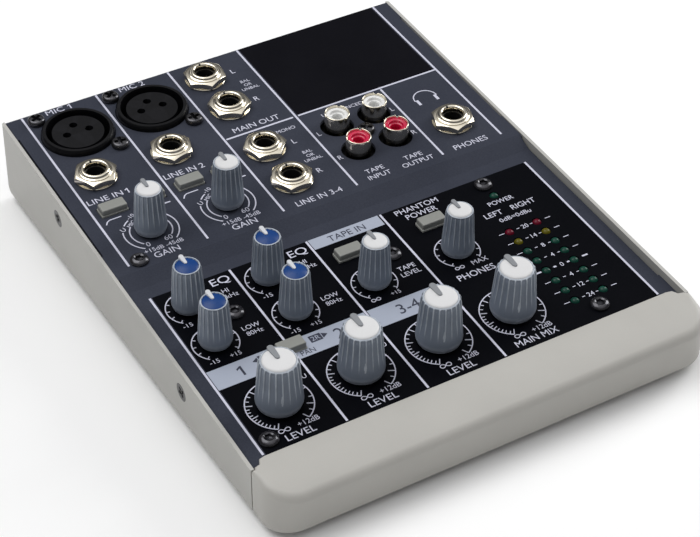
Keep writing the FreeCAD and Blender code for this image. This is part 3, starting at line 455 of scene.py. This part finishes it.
# ------------------------------------------------------------------ CAD nodes that stay
SLOT_OF = {
    "chassis_tray": "case_paint", "top_panel": "panel_paint", "front_bumper": "bumper_plastic",
    "rubber_feet": "rubber", "side_screws": "case_screw", "connector_board": "board",
    "control_board": "board", "board_link": "black_plastic", "amplifier_chips": "black_plastic",
    "board_standoffs": "plain_steel", "panel_screws": "black_screw",
    "connector_screws": "black_screw", "xlr_shells": "black_plastic",
    "xlr_inserts": "black_plastic", "xlr_contacts": "contact", "jack_bodies": "black_plastic",
    "jack_bushings": "nickel", "jack_nuts": "nickel", "jack_washers": "nickel",
    "rca_housing": "black_plastic", "rca_shells": "nickel", "rca_inserts_white": "white_plastic",
    "rca_inserts_red": "red_plastic", "power_inlet": "black_plastic", "red_leds": "red_lens",
    "yellow_leds": "yellow_lens", "green_leds": "green_lens", "pot_bodies": "pot_case",
    "switch_bodies": "black_plastic",
}
for name, thing in nodes.items():
    slot = SLOT_OF.get(name)
    if slot is None:
        slot = ("knob_plastic" if name.endswith("_knob") else
                "button_plastic" if name.endswith("_button") else
                "cap_blue" if name.startswith("eq_") else "cap_white")
    thing.data.materials.clear()
    thing.data.materials.append(FINISHES[slot])
for name, wide in (("chassis_tray", 0.2), ("xlr_shells", 0.22), ("xlr_inserts", 0.14),
                   ("rubber_feet", 0.4), ("power_inlet", 0.2)):
    soften(nodes[name], wide, weld=True)


# ------------------------------------------------------------------ front moulding
def make_bumper():
    """Hollow front moulding: flat sides, round corners, and a bulged top with a soft crease."""
    half, chin, front, back = 73.5, -95.6, -96.7, -79.0
    seam, base, crease, ridge = -81.95, 2.5, 16.2, 18.95
    corner, bulge, wall_thick = 9.5, 1.1, 1.8
    notch_from, notch_deep = 70.0, 1.7
    back_half, lip_y, round_off = 72.1, -81.6, 0.7
    end_slant = 0.0675
    side_steps, corner_steps, front_steps = 5, 14, 24

    def top(y):
        """Height of the top at y."""
        t = max(0.0, min(1.0, (y - front) / (back - front)))
        return crease + (ridge - crease) * t + bulge * math.sin(math.pi * t) ** 0.85

    sweep = [(-half, seam + (front + corner - seam) * k / side_steps, (-1.0, 0.0),
              1 - k / side_steps) for k in range(side_steps)]
    for k in range(corner_steps + 1):
        a = math.radians(180 + 90 * k / corner_steps)
        sweep.append((-half + corner, front + corner, (math.cos(a), math.sin(a)), 0.0))
    for k in range(1, front_steps):
        sweep.append((-half + corner + (2 * half - 2 * corner) * k / front_steps,
                      front + corner, (0.0, -1.0), 0.0))
    left_end = sweep[:side_steps + corner_steps + 1]
    sweep += [(-x, y, (-nx, ny), near) for x, y, (nx, ny), near in reversed(left_end)]

    def outside(station, inset):
        """The point of the outline at a station, moved inwards by inset."""
        x, y, (nx, ny), near = station
        if abs(x) == half:
            return x + (inset if x < 0 else -inset), y
        reach = corner - inset
        return x + nx * reach, y + ny * reach

    lengths = [0.0]
    spots = [outside(s, 0) for s in sweep]
    for a, b in zip(spots, spots[1:]):
        lengths.append(lengths[-1] + math.dist(a, b))
    rings = []
    for station, run in zip(sweep, lengths):
        near = station[3]
        soft = 2.2 - 1.2 * near
        lean = max(0.0, -station[2][1]) * (front - chin)
        back_x = -back_half + 2 * back_half * run / lengths[-1]
        back_y = back - (notch_deep if abs(back_x) > notch_from else 0.0)
        x0, y0 = outside(station, 1.0)
        ring = [(x0 + (back_x - x0) * t, (y0 - lean) + (lip_y - y0 + lean) * t, base)
                for t in (1.0, 0.6, 0.3, 0.0)]
        x0, y0 = outside(station, 0.3)
        ring.append((x0, y0 - lean, base + 0.3))
        x1, y1 = outside(station, 0)
        shoulder = top(y1) - soft
        for k in range(7):
            t = k / 6
            ring.append((x1, y1 - lean * (1 - t), base + 1 + (shoulder - base - 1) * t))
        for k in range(1, 8):
            a = math.radians(90 * k / 7)
            x1, y1 = outside(station, soft * (1 - math.cos(a)))
            ring.append((x1, y1, top(y1) - soft + soft * math.sin(a)))
        x1, y1 = outside(station, soft)
        edge = back_y - round_off
        for k in range(1, 13):
            y = y1 + (edge - y1) * k / 12
            ring.append((x1 + (back_x - x1) * k / 12, y, top(y)))
        for k in range(1, 5):
            a = math.radians(90 * k / 4)
            ring.append((back_x, edge + round_off * math.sin(a),
                         top(edge) - round_off * (1 - math.cos(a))))
        ring.append((back_x, back_y, ridge - 2.4))
        rings.append([(x, y - near * end_slant * (z - base), z) for x, y, z in ring])
    bm = bmesh.new()
    skin(bm, rings, around=False)
    thing = piece("front_moulding", bm, "case", FINISHES["bumper_plastic"],
                  ("front_bumper",), WORLD, 30.0)
    wall = thing.modifiers.new("wall", "SOLIDIFY")
    wall.thickness = wall_thick * MM
    wall.offset = -1.0
    wall.use_even_offset = False


make_bumper()


# ------------------------------------------------------------------ knobs
def make_knob(name):
    """A ribbed knob on its shaft, its cap and its pointer, in place of the plain CAD ones."""
    u, v = middle(name + "_knob")
    spot = Matrix.Translation((u, v, level_at(v)))
    kind = "blue" if name.startswith("eq_") else "white"
    large = name in ("level_1", "level_2", "stereo_level", "main_mix")
    foot, skirt, neck, cap, top = (6.4, 7.0, 5.95, 4.9, 17.7) if large else (
        4.6, 5.2, 4.35, 3.55 if kind == "blue" else 3.65, 17.0)
    fade, deepest, ribs = (5.5, 0.5, 20) if large else (4.2, 0.4, 18)
    skirt_top, steps_a_rib, body_steps, round_steps = 2.7, 12, 14, 10

    def flute(turn, height):
        """Depth of the hollows between narrow ribs, which fade out towards the skirt."""
        if not fade < height < top - 0.5:
            return 0.0
        hollow = min(1.0, 1.6 * abs(math.sin(math.pi * turn * ribs))) ** 1.3
        grown = min(1.0, (height - fade) / 6.0)
        return deepest * grown * hollow * min(1.0, (top - 0.5 - height) / 0.4)

    side = [(foot - 0.5, 0.8), (foot - 0.1, 0.82), (foot + 0.14, 0.98), (skirt - 0.2, 1.7),
            (skirt - 0.05, 2.15), (skirt, skirt_top)]
    rise = top - 1.6 - skirt_top
    side += [(skirt + (neck - skirt) * k / body_steps, skirt_top + rise * k / body_steps)
             for k in range(1, body_steps + 1)]
    side += [(neck - 0.06, top - 1.25), (neck - 0.2, top - 0.92), (neck - 0.36, top - 0.68),
             (cap + 0.42, top - 0.52), (cap + 0.28, top - 0.45), (cap + 0.05, top - 0.46),
             (cap + 0.05, top - 1.2), (0.6, top - 1.2)]
    bm = bmesh.new()
    skin(bm, turned(side, ribs * steps_a_rib, flute), spot, ends="az")
    shaft = [(2.5, -9.0), (2.5, 0.9)]
    skin(bm, turned(shaft, 32), spot, ends="az")
    piece(name + "_ribbed", bm, name, FINISHES["knob_plastic"],
          (name + "_knob",))

    bm = bmesh.new()
    if kind == "blue":
        rim = [(cap, top - 1.2), (cap, top - 0.8), (cap - 0.1, top - 0.66)]
        rim += [((cap - 0.1) * t, top - 0.66 + 0.72 * (1 - t ** 2))
                for t in (1 - k / round_steps for k in range(1, round_steps))]
    else:
        rim = [(cap, top - 1.2), (cap, top - 0.62), (cap - 0.08, top - 0.42),
               (cap - 0.24, top - 0.25), (cap - 0.5, top - 0.12), (cap - 0.85, top - 0.05),
               (cap * 0.5, top - 0.01), (0.2, top)]
    skin(bm, turned(rim, 72), spot, ends="az")
    slot = "cap_" + kind
    piece(name + "_top", bm, name, FINISHES[slot], (name + "_cap",))

    half, reach, start = (1.1, cap + 0.95, 0.0) if large else (0.78, cap + 0.95, 0.2)
    half_turn = [math.pi * k / round_steps for k in range(round_steps + 1)]
    outline = [(-half * 0.72 * math.cos(a), start + half - half * math.sin(a))
               for a in half_turn]
    outline += [(half * 0.95 * math.cos(a), reach - half + half * math.sin(a))
                for a in half_turn]
    bm = bmesh.new()
    rings = [[(x, y, top - 1.15) for x, y in outline]]
    centre_y = (start + reach) / 2
    for inset, height in ((0, 0.18), (0.06, 0.3), (0.16, 0.37), (0.3, 0.39)):
        rings.append([(x * (1 - inset / half), centre_y + (y - centre_y) * (1 - inset / 2.4),
                       top + height) for x, y in outline])
    skin(bm, rings, spot, ends="az")
    piece(name + "_pointer", bm, name, POINTER_PALE if kind == "blue" else POINTER_GREY)


for node in sorted(nodes):
    if node.endswith("_knob"):
        make_knob(node.removesuffix("_knob"))


# ------------------------------------------------------------------ push buttons
def make_button(name):
    """A push button: rounded block on a thin flange, and its stem."""
    u, v = middle(name)
    spot = Matrix.Translation((u, v, level_at(v)))
    wide, deep = 9.0, 4.7
    bm = bmesh.new()
    rings = []
    for less, height in ((0.0, -2.4), (0.0, 0.25), (0.04, 0.36), (0.14, 0.4), (0.44, 0.42),
                         (0.5, 0.5), (0.5, 0.9), (0.56, 1.9), (0.64, 2.15), (0.84, 2.32),
                         (1.14, 2.38), (2.2, 2.4)):
        rings.append([(x, y, height) for x, y in rounded(wide - less, deep - less, 0.4)])
    skin(bm, rings, spot, ends="az")
    stem = rounded(2.6, 2.6, 0.2, 2)
    skin(bm, [[(x, y, z) for x, y in stem] for z in (-6.0, -2.35)], spot, ends="az")
    piece(name + "_block", bm, name.replace("_button", "_switch"), FINISHES["button_plastic"],
          (name,), sharp=50.0)


for node in sorted(nodes):
    if node.endswith("_button"):
        make_button(node)


# ------------------------------------------------------------------ jacks
NUT_REACH = 8.5  # farther than a nut's corner, nearer than the next nut


def corner_turn(node, u, v):
    """Angle of one corner of the nut at (u, v), from the CAD mesh."""
    inverse = PANEL.inverted()
    arms = [(inverse @ vert.co) - Vector((u, v, 0)) for vert in nodes[node].data.vertices]
    near = [arm.to_2d() for arm in arms if arm.to_2d().length < NUT_REACH]
    arm = max(near, key=lambda arm: arm.length)
    return math.atan2(arm.y, arm.x)


def make_jacks():
    """Jack sockets: thin washer, chamfered hexagon nut, collar, stepped nose, painted shade in
    bore and notch.
    """
    nose = [(4.7, -5.2), (4.7, 2.7), (5.3, 2.8), (5.42, 2.9), (5.42, 3.0), (5.3, 3.1),
            (4.95, 3.16), (4.82, 3.26), (4.72, 3.5), (4.6, 3.74), (4.4, 3.9), (4.15, 3.98),
            (3.9, 3.97), (3.66, 3.86), (3.46, 3.64), (3.32, 3.3), (3.24, 2.9), (3.2, 2.2),
            (3.2, -5.2)]
    washer = [(4.75, 0.0), (6.72, 0.0), (6.8, 0.08), (6.8, 0.5), (6.7, 0.6), (4.75, 0.6)]
    # Profile of a thin dark lining inside the nose's bore, which paints its shade.
    bore_shade_ring = [(3.19, -5.2), (3.19, 2.0), (3.0, 2.0), (3.0, -5.2)]
    flat, circle, foot, head = 6.35, 6.2, 0.6, 2.8
    noses, washers, nuts, notch_shades, bore_shades = [bmesh.new() for _ in range(5)]
    for spot in centres("jack_bushings"):
        place = Matrix.Translation((spot.x, spot.y, 0))
        skin(noses, turned(nose, 72), place, loop=True)
        skin(washers, turned(washer, 72), place, loop=True)
        skin(bore_shades, turned(bore_shade_ring, 48), place, loop=True)
        # A dark block in the lip where its notch is: painted shade in place of a cut notch.
        skin(notch_shades, [[(x, 3.72 + y, z) for x, y in rounded(0.6, 0.75, 0.1, 2)]
                     for z in (1.0, 4.0)], place, ends="az")
        turn = place @ Matrix.Rotation(corner_turn("jack_nuts", spot.x, spot.y), 4, "Z")
        angles = [math.radians(5 * k) for k in range(72)]
        edge = [flat / math.cos(a % (math.pi / 3) - math.pi / 6) for a in angles]
        rings = []
        for radius, height, rise in ((4.75, foot, 0), (circle, foot, 0), (None, foot, 0.3),
                                     (None, head, -0.58), (circle, head, 0), (5.0, head, 0),
                                     (4.75, head - 0.3, 0)):
            rings.append([((radius or r) * math.cos(a), (radius or r) * math.sin(a),
                           height + rise * (r - circle)) for a, r in zip(angles, edge)])
        skin(nuts, rings, turn, loop=True)
    nickel = FINISHES["nickel"]
    piece("jack_noses", noses, "case", nickel, ("jack_bushings",), sharp=40.0)
    piece("jack_washer_rings", washers, "case", nickel, ("jack_washers",))
    soften(piece("jack_hexagons", nuts, "case", nickel, ("jack_nuts",)), 0.07)
    # The dark lip blocks and bore linings are painted shade.
    piece("jack_lip_notch_shade", notch_shades, "case", PAINTED_SHADE)
    piece("jack_bore_shade", bore_shades, "case", PAINTED_SHADE)


make_jacks()


# ------------------------------------------------------------------ lamps
def make_lamps():
    """Round-topped 3 mm lamps, as high as the CAD ones."""
    radius = 1.5
    for colour in ("red", "yellow", "green"):
        bm = bmesh.new()
        for low, high in solids(f"{colour}_leds"):
            u, v = (low.x + high.x) / 2, (low.y + high.y) / 2
            shoulder = high.z - radius
            profile = [(radius, -8.0), (radius, shoulder)]
            profile += [(radius * math.cos(a), shoulder + radius * math.sin(a))
                        for a in (math.radians(9 * k) for k in range(1, 10))]
            skin(bm, turned(profile, 40), Matrix.Translation((u, v, 0)), ends="az")
        piece(f"{colour}_lamp_domes", bm, "case", FINISHES[f"{colour}_lens"],
              (f"{colour}_leds",))


make_lamps()


# ------------------------------------------------------------------ phono sockets
def make_phonos():
    """Phono sockets: rolled metal shells with small notches, round coloured cups."""
    shell = [(4.12, -3.0), (4.12, 4.6), (4.15, 5.2), (4.13, 5.36), (4.02, 5.48), (3.9, 5.5),
             (3.78, 5.45), (3.72, 5.3), (3.7, 5.0), (3.7, -3.0)]
    count, notches, notch_depth = 63, 3, 0.5
    rings = [[(x, y, z - notch_depth if z > 4.9 and k % (count // notches) in (9, 10) else z)
              for k, (x, y, z) in enumerate(ring)] for ring in turned(shell, count)]
    bm = bmesh.new()
    for spot in centres("rca_shells"):
        skin(bm, rings, Matrix.Translation((spot.x, spot.y, 0)), loop=True)
    piece("phono_shells", bm, "case", FINISHES["nickel"], ("rca_shells",), sharp=50.0)
    cup = [(3.68, -3.0), (3.68, 4.55), (3.6, 4.72), (3.3, 4.8), (2.9, 4.78), (2.5, 4.62),
           (2.35, 4.3), (2.25, 3.9), (2.05, 3.75), (1.85, 3.7), (1.72, 3.5), (1.7, 3.0),
           (1.7, -1.6), (0.1, -1.6)]
    for colour in ("white", "red"):
        bm = bmesh.new()
        for spot in centres(f"rca_inserts_{colour}"):
            skin(bm, turned(cup, 56), Matrix.Translation((spot.x, spot.y, 0)), ends="az")
        piece(f"phono_cups_{colour}", bm, "case", FINISHES[f"{colour}_plastic"],
              (f"rca_inserts_{colour}",))


make_phonos()


# ------------------------------------------------------------------ screws
HEAD_STEPS = 48
WALL_FACE = 73.45


def cross_ring(radius, arm, height):
    """A ring that follows a cross of the given half length and half width."""
    ring = []
    for k in range(HEAD_STEPS):
        a = 2 * math.pi * k / HEAD_STEPS
        c, t = abs(math.cos(a)), abs(math.sin(a))
        along, across = max(c, t), min(c, t)
        reach = min(radius / along, arm / across if across > 1e-6 else radius / along)
        ring.append((reach * math.cos(a), reach * math.sin(a), height))
    return ring


def make_panel_screws():
    """Black button-head screws with a hexagon socket."""
    dome = [(1.25, -6.0), (1.25, 0.0), (2.8, 0.0), (2.98, 0.1), (3.0, 0.3), (2.92, 0.62),
            (2.68, 0.96), (2.3, 1.26), (1.9, 1.43), (1.66, 1.48), (1.56, 1.42)]
    rings = turned(dome, HEAD_STEPS)
    for radius, height in ((1.38, 1.2), (1.36, 0.45), (0.4, 0.3)):
        ring = []
        for k in range(HEAD_STEPS):
            a = 2 * math.pi * k / HEAD_STEPS
            edge = math.cos(math.pi / 6) / math.cos((a % (math.pi / 3)) - math.pi / 6)
            ring.append((radius * edge * math.cos(a), radius * edge * math.sin(a), height))
        rings.append(ring)
    bm = bmesh.new()
    for spot in centres("panel_screws"):
        skin(bm, rings, Matrix.Translation((spot.x, spot.y, level_at(spot.y))), ends="az")
    piece("panel_button_heads", bm, "case", FINISHES["black_screw"],
          ("panel_screws",), sharp=42.0)


def make_cross_screws():
    """Pan heads beside the connectors and flush countersunk heads in the side walls."""
    pan = [(1.25, -7.0), (1.25, 0.0), (2.7, 0.0), (2.86, 0.15), (2.9, 0.5), (2.86, 1.05),
           (2.7, 1.5), (2.4, 1.8), (2.1, 1.93)]
    rings = turned(pan, HEAD_STEPS)
    rings += [cross_ring(1.95, 0.62, 1.95), cross_ring(1.8, 0.5, 1.3),
              cross_ring(0.9, 0.4, 0.4), cross_ring(0.3, 0.3, 0.2)]
    bm = bmesh.new()
    for index, spot in enumerate(centres("connector_screws")):
        place = Matrix.Translation((spot.x, spot.y, 0))
        skin(bm, rings, place @ Matrix.Rotation(0.5 + 0.9 * index, 4, "Z"), ends="az")
    piece("connector_pan_heads", bm, "case", FINISHES["black_screw"],
          ("connector_screws",), sharp=38.0)

    sunk = [(1.25, -4.5), (1.25, -0.62), (2.94, -0.12), (2.98, -0.02), (2.9, 0.0), (2.1, 0.0)]
    rings = turned(sunk, HEAD_STEPS)
    rings += [cross_ring(1.75, 0.55, -0.02), cross_ring(1.6, 0.45, -0.6),
              cross_ring(0.8, 0.3, -1.2), cross_ring(0.2, 0.2, -1.3)]
    bm = bmesh.new()
    for index, spot in enumerate(centres("side_screws")):
        side = -1 if spot.x < 0 else 1
        hub = PANEL @ spot
        place = (Matrix.Translation((side * WALL_FACE, hub.y / MM, hub.z / MM))
                 @ Matrix.Rotation(math.radians(90 * side), 4, "Y")
                 @ Matrix.Rotation(0.6 + 0.7 * index, 4, "Z"))
        skin(bm, rings, place, ends="az")
    piece("side_sunk_heads", bm, "case", FINISHES["case_screw"],
          ("side_screws",), WORLD, 38.0)


make_panel_screws()
make_cross_screws()


# ------------------------------------------------------------------ printing on the panel
# How far ink reaches below and above the panel. FONT_CAP keeps the font's height of an H.
INK_LOW, INK_HIGH = -0.05, 0.03
FONT_CAP = {}


def word(bm, text, u, v, cap, wide=None, turn=0.0, lift=0.0):
    """Add a printed word, centred on (u, v), with capitals cap mm high and wide mm in all."""
    curve = bpy.data.curves.new("word", "FONT")
    curve.align_x = "CENTER"
    curve.resolution_u = 4
    curve.extrude = 0.5
    thing = bpy.data.objects.new("word", curve)
    scene.collection.objects.link(thing)

    def shape(body):
        curve.body = body
        bpy.context.view_layer.update()
        ready = thing.evaluated_get(bpy.context.evaluated_depsgraph_get())
        return bpy.data.meshes.new_from_object(ready)

    if "H" not in FONT_CAP:
        sample = shape("H")
        FONT_CAP["H"] = max(p.co.y for p in sample.vertices) - min(p.co.y for p in sample.vertices)
        bpy.data.meshes.remove(sample)
    mesh = shape(text)
    scale = cap / FONT_CAP["H"]
    reach = [p.co.x for p in mesh.vertices]
    stretch = wide / (max(reach) - min(reach)) if wide else scale
    base = level_at(v)
    low, high = base + INK_LOW + lift, base + INK_HIGH + lift
    mesh.transform(
        Matrix.Translation((u, v, low)) @ Matrix.Rotation(math.radians(-turn), 4, "Z")
        @ Matrix.Translation((-(max(reach) + min(reach)) / 2 * stretch, -cap / 2, 0))
        @ Matrix.Diagonal((stretch, scale, high - low, 1)) @ Matrix.Translation((0, 0, 0.5)))
    bm.from_mesh(mesh)
    bpy.data.meshes.remove(mesh)
    bpy.data.objects.remove(thing)
    bpy.data.curves.remove(curve)


def numeral_one(bm, u, v, cap, lift=0.0):
    """A figure one with a small flag, centred on (u, v)."""
    shape = [(0.04, -0.5), (0.22, -0.5), (0.22, 0.5), (0.08, 0.5), (-0.22, 0.3), (-0.22, 0.13),
             (0.04, 0.3)]
    base = level_at(v) + lift
    plate(bm, [(u + x * cap, v + y * cap) for x, y in shape], base + INK_LOW, base + INK_HIGH)


def line(bm, points, wide=0.7):
    """A printed line, at the height of the panel at its first point."""
    base = level_at(points[0][1])
    strip(bm, points, wide, base + INK_LOW, base + INK_HIGH)


def infinity(bm, u, v, wide):
    """A lying eight, which marks silence."""
    points = []
    count = 36
    for k in range(count):
        a = 2 * math.pi * k / count
        reach = wide / 2 / (1 + math.sin(a) ** 2)
        points.append((u + reach * math.cos(a), v + reach * math.sin(a) * math.cos(a) * 1.1))
    base = level_at(v)
    strip(bm, points, 0.27, base + INK_LOW, base + INK_HIGH, closed=True)


def ticks(bm, u, v, radius, marks, wide=0.3):
    """Short marks inwards from a dial's arc; each mark is (angle, length)."""
    for angle, length in marks:
        a = math.radians(angle)
        line(bm, [(u + r * math.sin(a), v + r * math.cos(a)) for r in (radius, radius - length)],
             wide)


# Marks of the large and the small dials, each as its angle from straight up and its length.
LEVEL_MARKS = [(-150, 2.2), (-143, 1.3), (-135, 1.3), (-128, 1.3), (-120.5, 1.3), (-113, 1.6),
               (-106, 1.2), (-99.6, 2.3), (-93, 1.2), (-84.5, 1.2), (-77, 1.2), (-68, 2.2),
               (-57, 1.2), (-45, 1.2), (-33, 2.0), (-16, 1.2), (0, 2.2), (16, 1.2), (33, 1.2),
               (50, 2.0), (77, 1.2), (100, 1.2), (117, 2.2), (132, 1.3), (150, 2.2)]
SMALL_MARKS = [(angle, 1.5 if angle == 0 else 1.1) for angle in range(-135, 136, 27)]

ink = bmesh.new()
bands = bmesh.new()
band_ink = bmesh.new()
box_text = bmesh.new()

# Dividing lines.
for u in (-66.8, -40.3, -13.8, 12.5, 66.7):
    line(ink, [(u, -0.9), (u, -84.0)])
    line(ink, [(u, -98.0), (u, -170.0)])
line(ink, [(44.5, -44.0), (44.5, -84.0)])
line(ink, [(-13.1, -43.3), (11.5, -43.3)])
line(ink, [(13.4, -43.3), (66.3, -43.3)])

# The two microphone channels.
for n, shift in ((1, 0.0), (2, CHANNEL_PITCH)):
    if n == 1:
        word(ink, "MIC", -55.6, -2.3, 2.4, 6.3)
        numeral_one(ink, -50.4, -2.3, 2.4)
        word(ink, "LINE IN", -59.8, -51.2, 2.35, 12.0)
        numeral_one(ink, -52.2, -51.2, 2.35)
    else:
        word(ink, "MIC 2", -54.3 + shift, -2.3, 2.4, 9.0)
        word(ink, "LINE IN 2", -58.8 + shift, -51.2, 2.35, 14.0)
    line(ink, [(-64.8 + shift, -63.4), (-64.0 + shift, -62.2), (-63.0 + shift, -61.65),
               (-59.0 + shift, -61.6)], 0.4)
    line(ink, [(-44.6 + shift, -62.5), (-42.6 + shift, -62.5)], 0.5)
    gain_u, gain_v = -53.8 + shift, -72.1
    for radius, start, end in ((8.66, -143, -70), (8.66, -49, -30), (8.66, 30, 141.6),
                               (6.6, -136, -48), (6.6, 20, 134)):
        line(ink, arc(gain_u, gain_v, radius, start, end), 0.42)
    word(ink, "U", gain_u - 7.5, gain_v + 4.2, 1.7, turn=-20)
    word(ink, "-10", gain_u - 2.9, gain_v + 8.9, 1.5, turn=-24)
    word(ink, "MIC", gain_u - 4.1, gain_v + 5.6, 1.4, turn=-36)
    word(ink, "0", gain_u - 3.6, gain_v - 5.5, 1.95)
    word(ink, "60", gain_u + 3.2, gain_v - 5.5, 1.95)
    word(ink, "+15dB -45dB", gain_u + 0.3, gain_v - 8.4, 1.65, 13.0)
    word(ink, "GAIN", gain_u, gain_v - 11.2, 2.45, 8.4)
    word(ink, "EQ", -45.0 + shift, -101.0, 3.0, 6.2)
    word(ink, "HI", -45.6 + shift, -105.7, 1.7)
    word(ink, "12kHz", -45.6 + shift, -108.3, 1.7)
    word(ink, "LOW", -46.0 + shift, -123.0, 1.7)
    word(ink, "80Hz", -46.0 + shift, -125.6, 1.7)
    for eq_v in (-107.0, -124.3):
        line(ink, arc(-58.2 + shift, eq_v, 7.05, -140, 140), 0.35)
        ticks(ink, -58.2 + shift, eq_v, 7.0, SMALL_MARKS)
        word(ink, "-15", -62.0 + shift, eq_v - 6.9, 1.6, 3.1)
        word(ink, "+15", -55.2 + shift, eq_v - 6.9, 1.6, 3.5)
    word(ink, "U", -42.4 + shift, -148.7, 1.6)

# The dials of the level knobs, and of the small knobs right of the channels.
for u in (-53.7, -27.2, -1.1, 24.5):
    line(ink, arc(u, -155.0, 9.87, -150, 150, 48), 0.35)
    ticks(ink, u, -155.0, 9.85, LEVEL_MARKS)
    infinity(ink, u - 3.6, -164.7, 3.6)
    word(ink, "+12dB", u + 4.0, -164.6, 1.85, 6.7)
for u in (-53.8, -27.3, -1.2):
    word(ink, "LEVEL", u, -167.7, 2.4, 9.2)

for u in (-4.8, 24.6):
    line(ink, arc(u, -124.3, 7.05, -140, 140), 0.35)
    ticks(ink, u, -124.3, 7.0, SMALL_MARKS)
    infinity(ink, u - 3.4, -131.1, 3.0)

# Labels that stand alone: text, u, v, height of a capital and, where it is set, the width.
for label in (("MAIN MIX", 24.8, -167.6, 2.4, 14.6), ("+15", -1.4, -131.1, 1.5),
              ("TAPE", 7.2, -122.9, 1.8), ("LEVEL", 7.2, -125.7, 1.8),
              ("MAX", 28.3, -131.1, 1.8), ("PHONES", 24.5, -135.2, 2.4),
              ("PHANTOM", 24.5, -100.1, 2.2), ("POWER", 24.5, -103.3, 2.2),
              ("MAIN OUT", -0.7, -40.4, 2.4), ("L", 5.8, -11.0, 2.2), ("R", 5.8, -28.3, 2.2),
              ("MONO", 6.3, -47.9, 1.5), ("L", 5.7, -54.6, 2.2), ("R", 5.7, -71.5, 2.2),
              ("LINE IN 3-4", -0.8, -83.0, 2.3), ("UNBALANCED", 27.9, -47.2, 1.5, 15.4),
              ("PHONES", 55.5, -82.9, 2.3), ("POWER", 49.3, -110.5, 1.85, 9.1),
              ("LEFT", 43.7, -115.0, 2.15, 6.4), ("RIGHT", 54.7, -115.0, 2.15, 8.7),
              ("0dB=0dBu", 49.4, -118.7, 1.7, 11.4)):
    word(ink, *label)
for first in (-17.8, -61.2):
    for row, text in enumerate(("BAL", "OR", "UNBAL")):
        word(ink, text, 6.9, first - 2.15 * row, 1.35)
for u in (14.7, 42.3):
    word(ink, "L", u, -55.2, 2.0)
    word(ink, "R", u, -69.2, 2.0)
for u, text in ((21.3, "INPUT"), (35.6, "OUTPUT")):
    word(ink, "TAPE", u, -79.7, 2.0)
    word(ink, text, u, -82.9, 2.0)
# A small headphone over the headphone jack.
line(ink, arc(55.3, -55.4, 4.1, -92, 92), 0.4)
for side in (-1, 1):
    line(ink, [(55.3 + side * 3.4, -55.2), (55.3 + side * 3.4, -58.0)], 1.0)

# The meter's scale.
for row, text in enumerate(("20", "14", "8", "4", "0", "4", "12", "24")):
    v = -124.4 - LAMP_PITCH * row
    word(ink, text, 49.2, v, 1.7)
    for start, end in ((39.7, 41.7), (46.2, 47.2), (51.1, 52.0), (56.7, 58.7)):
        line(ink, [(start, v), (end, v)], 0.6 if text == "0" else 0.26)

# The pale bands across the black field and the dark print on them.
for u0, u1, v0, v1 in ((-13.2, 11.6, -102.7, -97.9), (-66.2, -14.3, -142.2, -134.0),
                       (-13.2, 11.6, -142.2, -134.0)):
    plate(bands, [(u0, v0), (u1, v0), (u1, v1), (u0, v1)], LOW + INK_LOW, LOW + 0.02)
word(band_ink, "TAPE IN", -0.8, -100.4, 2.5, lift=0.02)
numeral_one(band_ink, -57.2, -138.2, 3.9, 0.02)
word(band_ink, "2", -24.8, -138.1, 4.2, lift=0.02)
word(band_ink, "3-4", -1.2, -138.1, 4.0, lift=0.02)
word(band_ink, "PAN", -36.5, -140.5, 1.9, 4.6, lift=0.02)
for u, text in ((-48.6, "1L"), (-31.9, "2R")):
    plate(band_ink, [(u - 1.95, -138.0), (u + 1.95, -138.0), (u + 1.95, -135.2),
                     (u - 1.95, -135.2)], LOW + INK_LOW, LOW + 0.04)
    word(box_text, text, u, -136.6, 1.7, 2.8, lift=0.03)
for tip, tail in ((-52.6, -50.8), (-27.9, -29.7)):
    arrow = [(tip, -136.6), (tail, -137.7), (tail, -135.5)]
    if tip > tail:
        arrow.reverse()
    plate(band_ink, arrow, LOW + INK_LOW, LOW + 0.05)

piece("panel_print", ink, "case", PRINT, sharp=30.0)
piece("channel_bands", bands, "case", BAND, sharp=30.0)
piece("band_print", band_ink, "case", DARK_PRINT, sharp=30.0)
piece("band_box_print", box_text, "case", BAND, sharp=30.0)
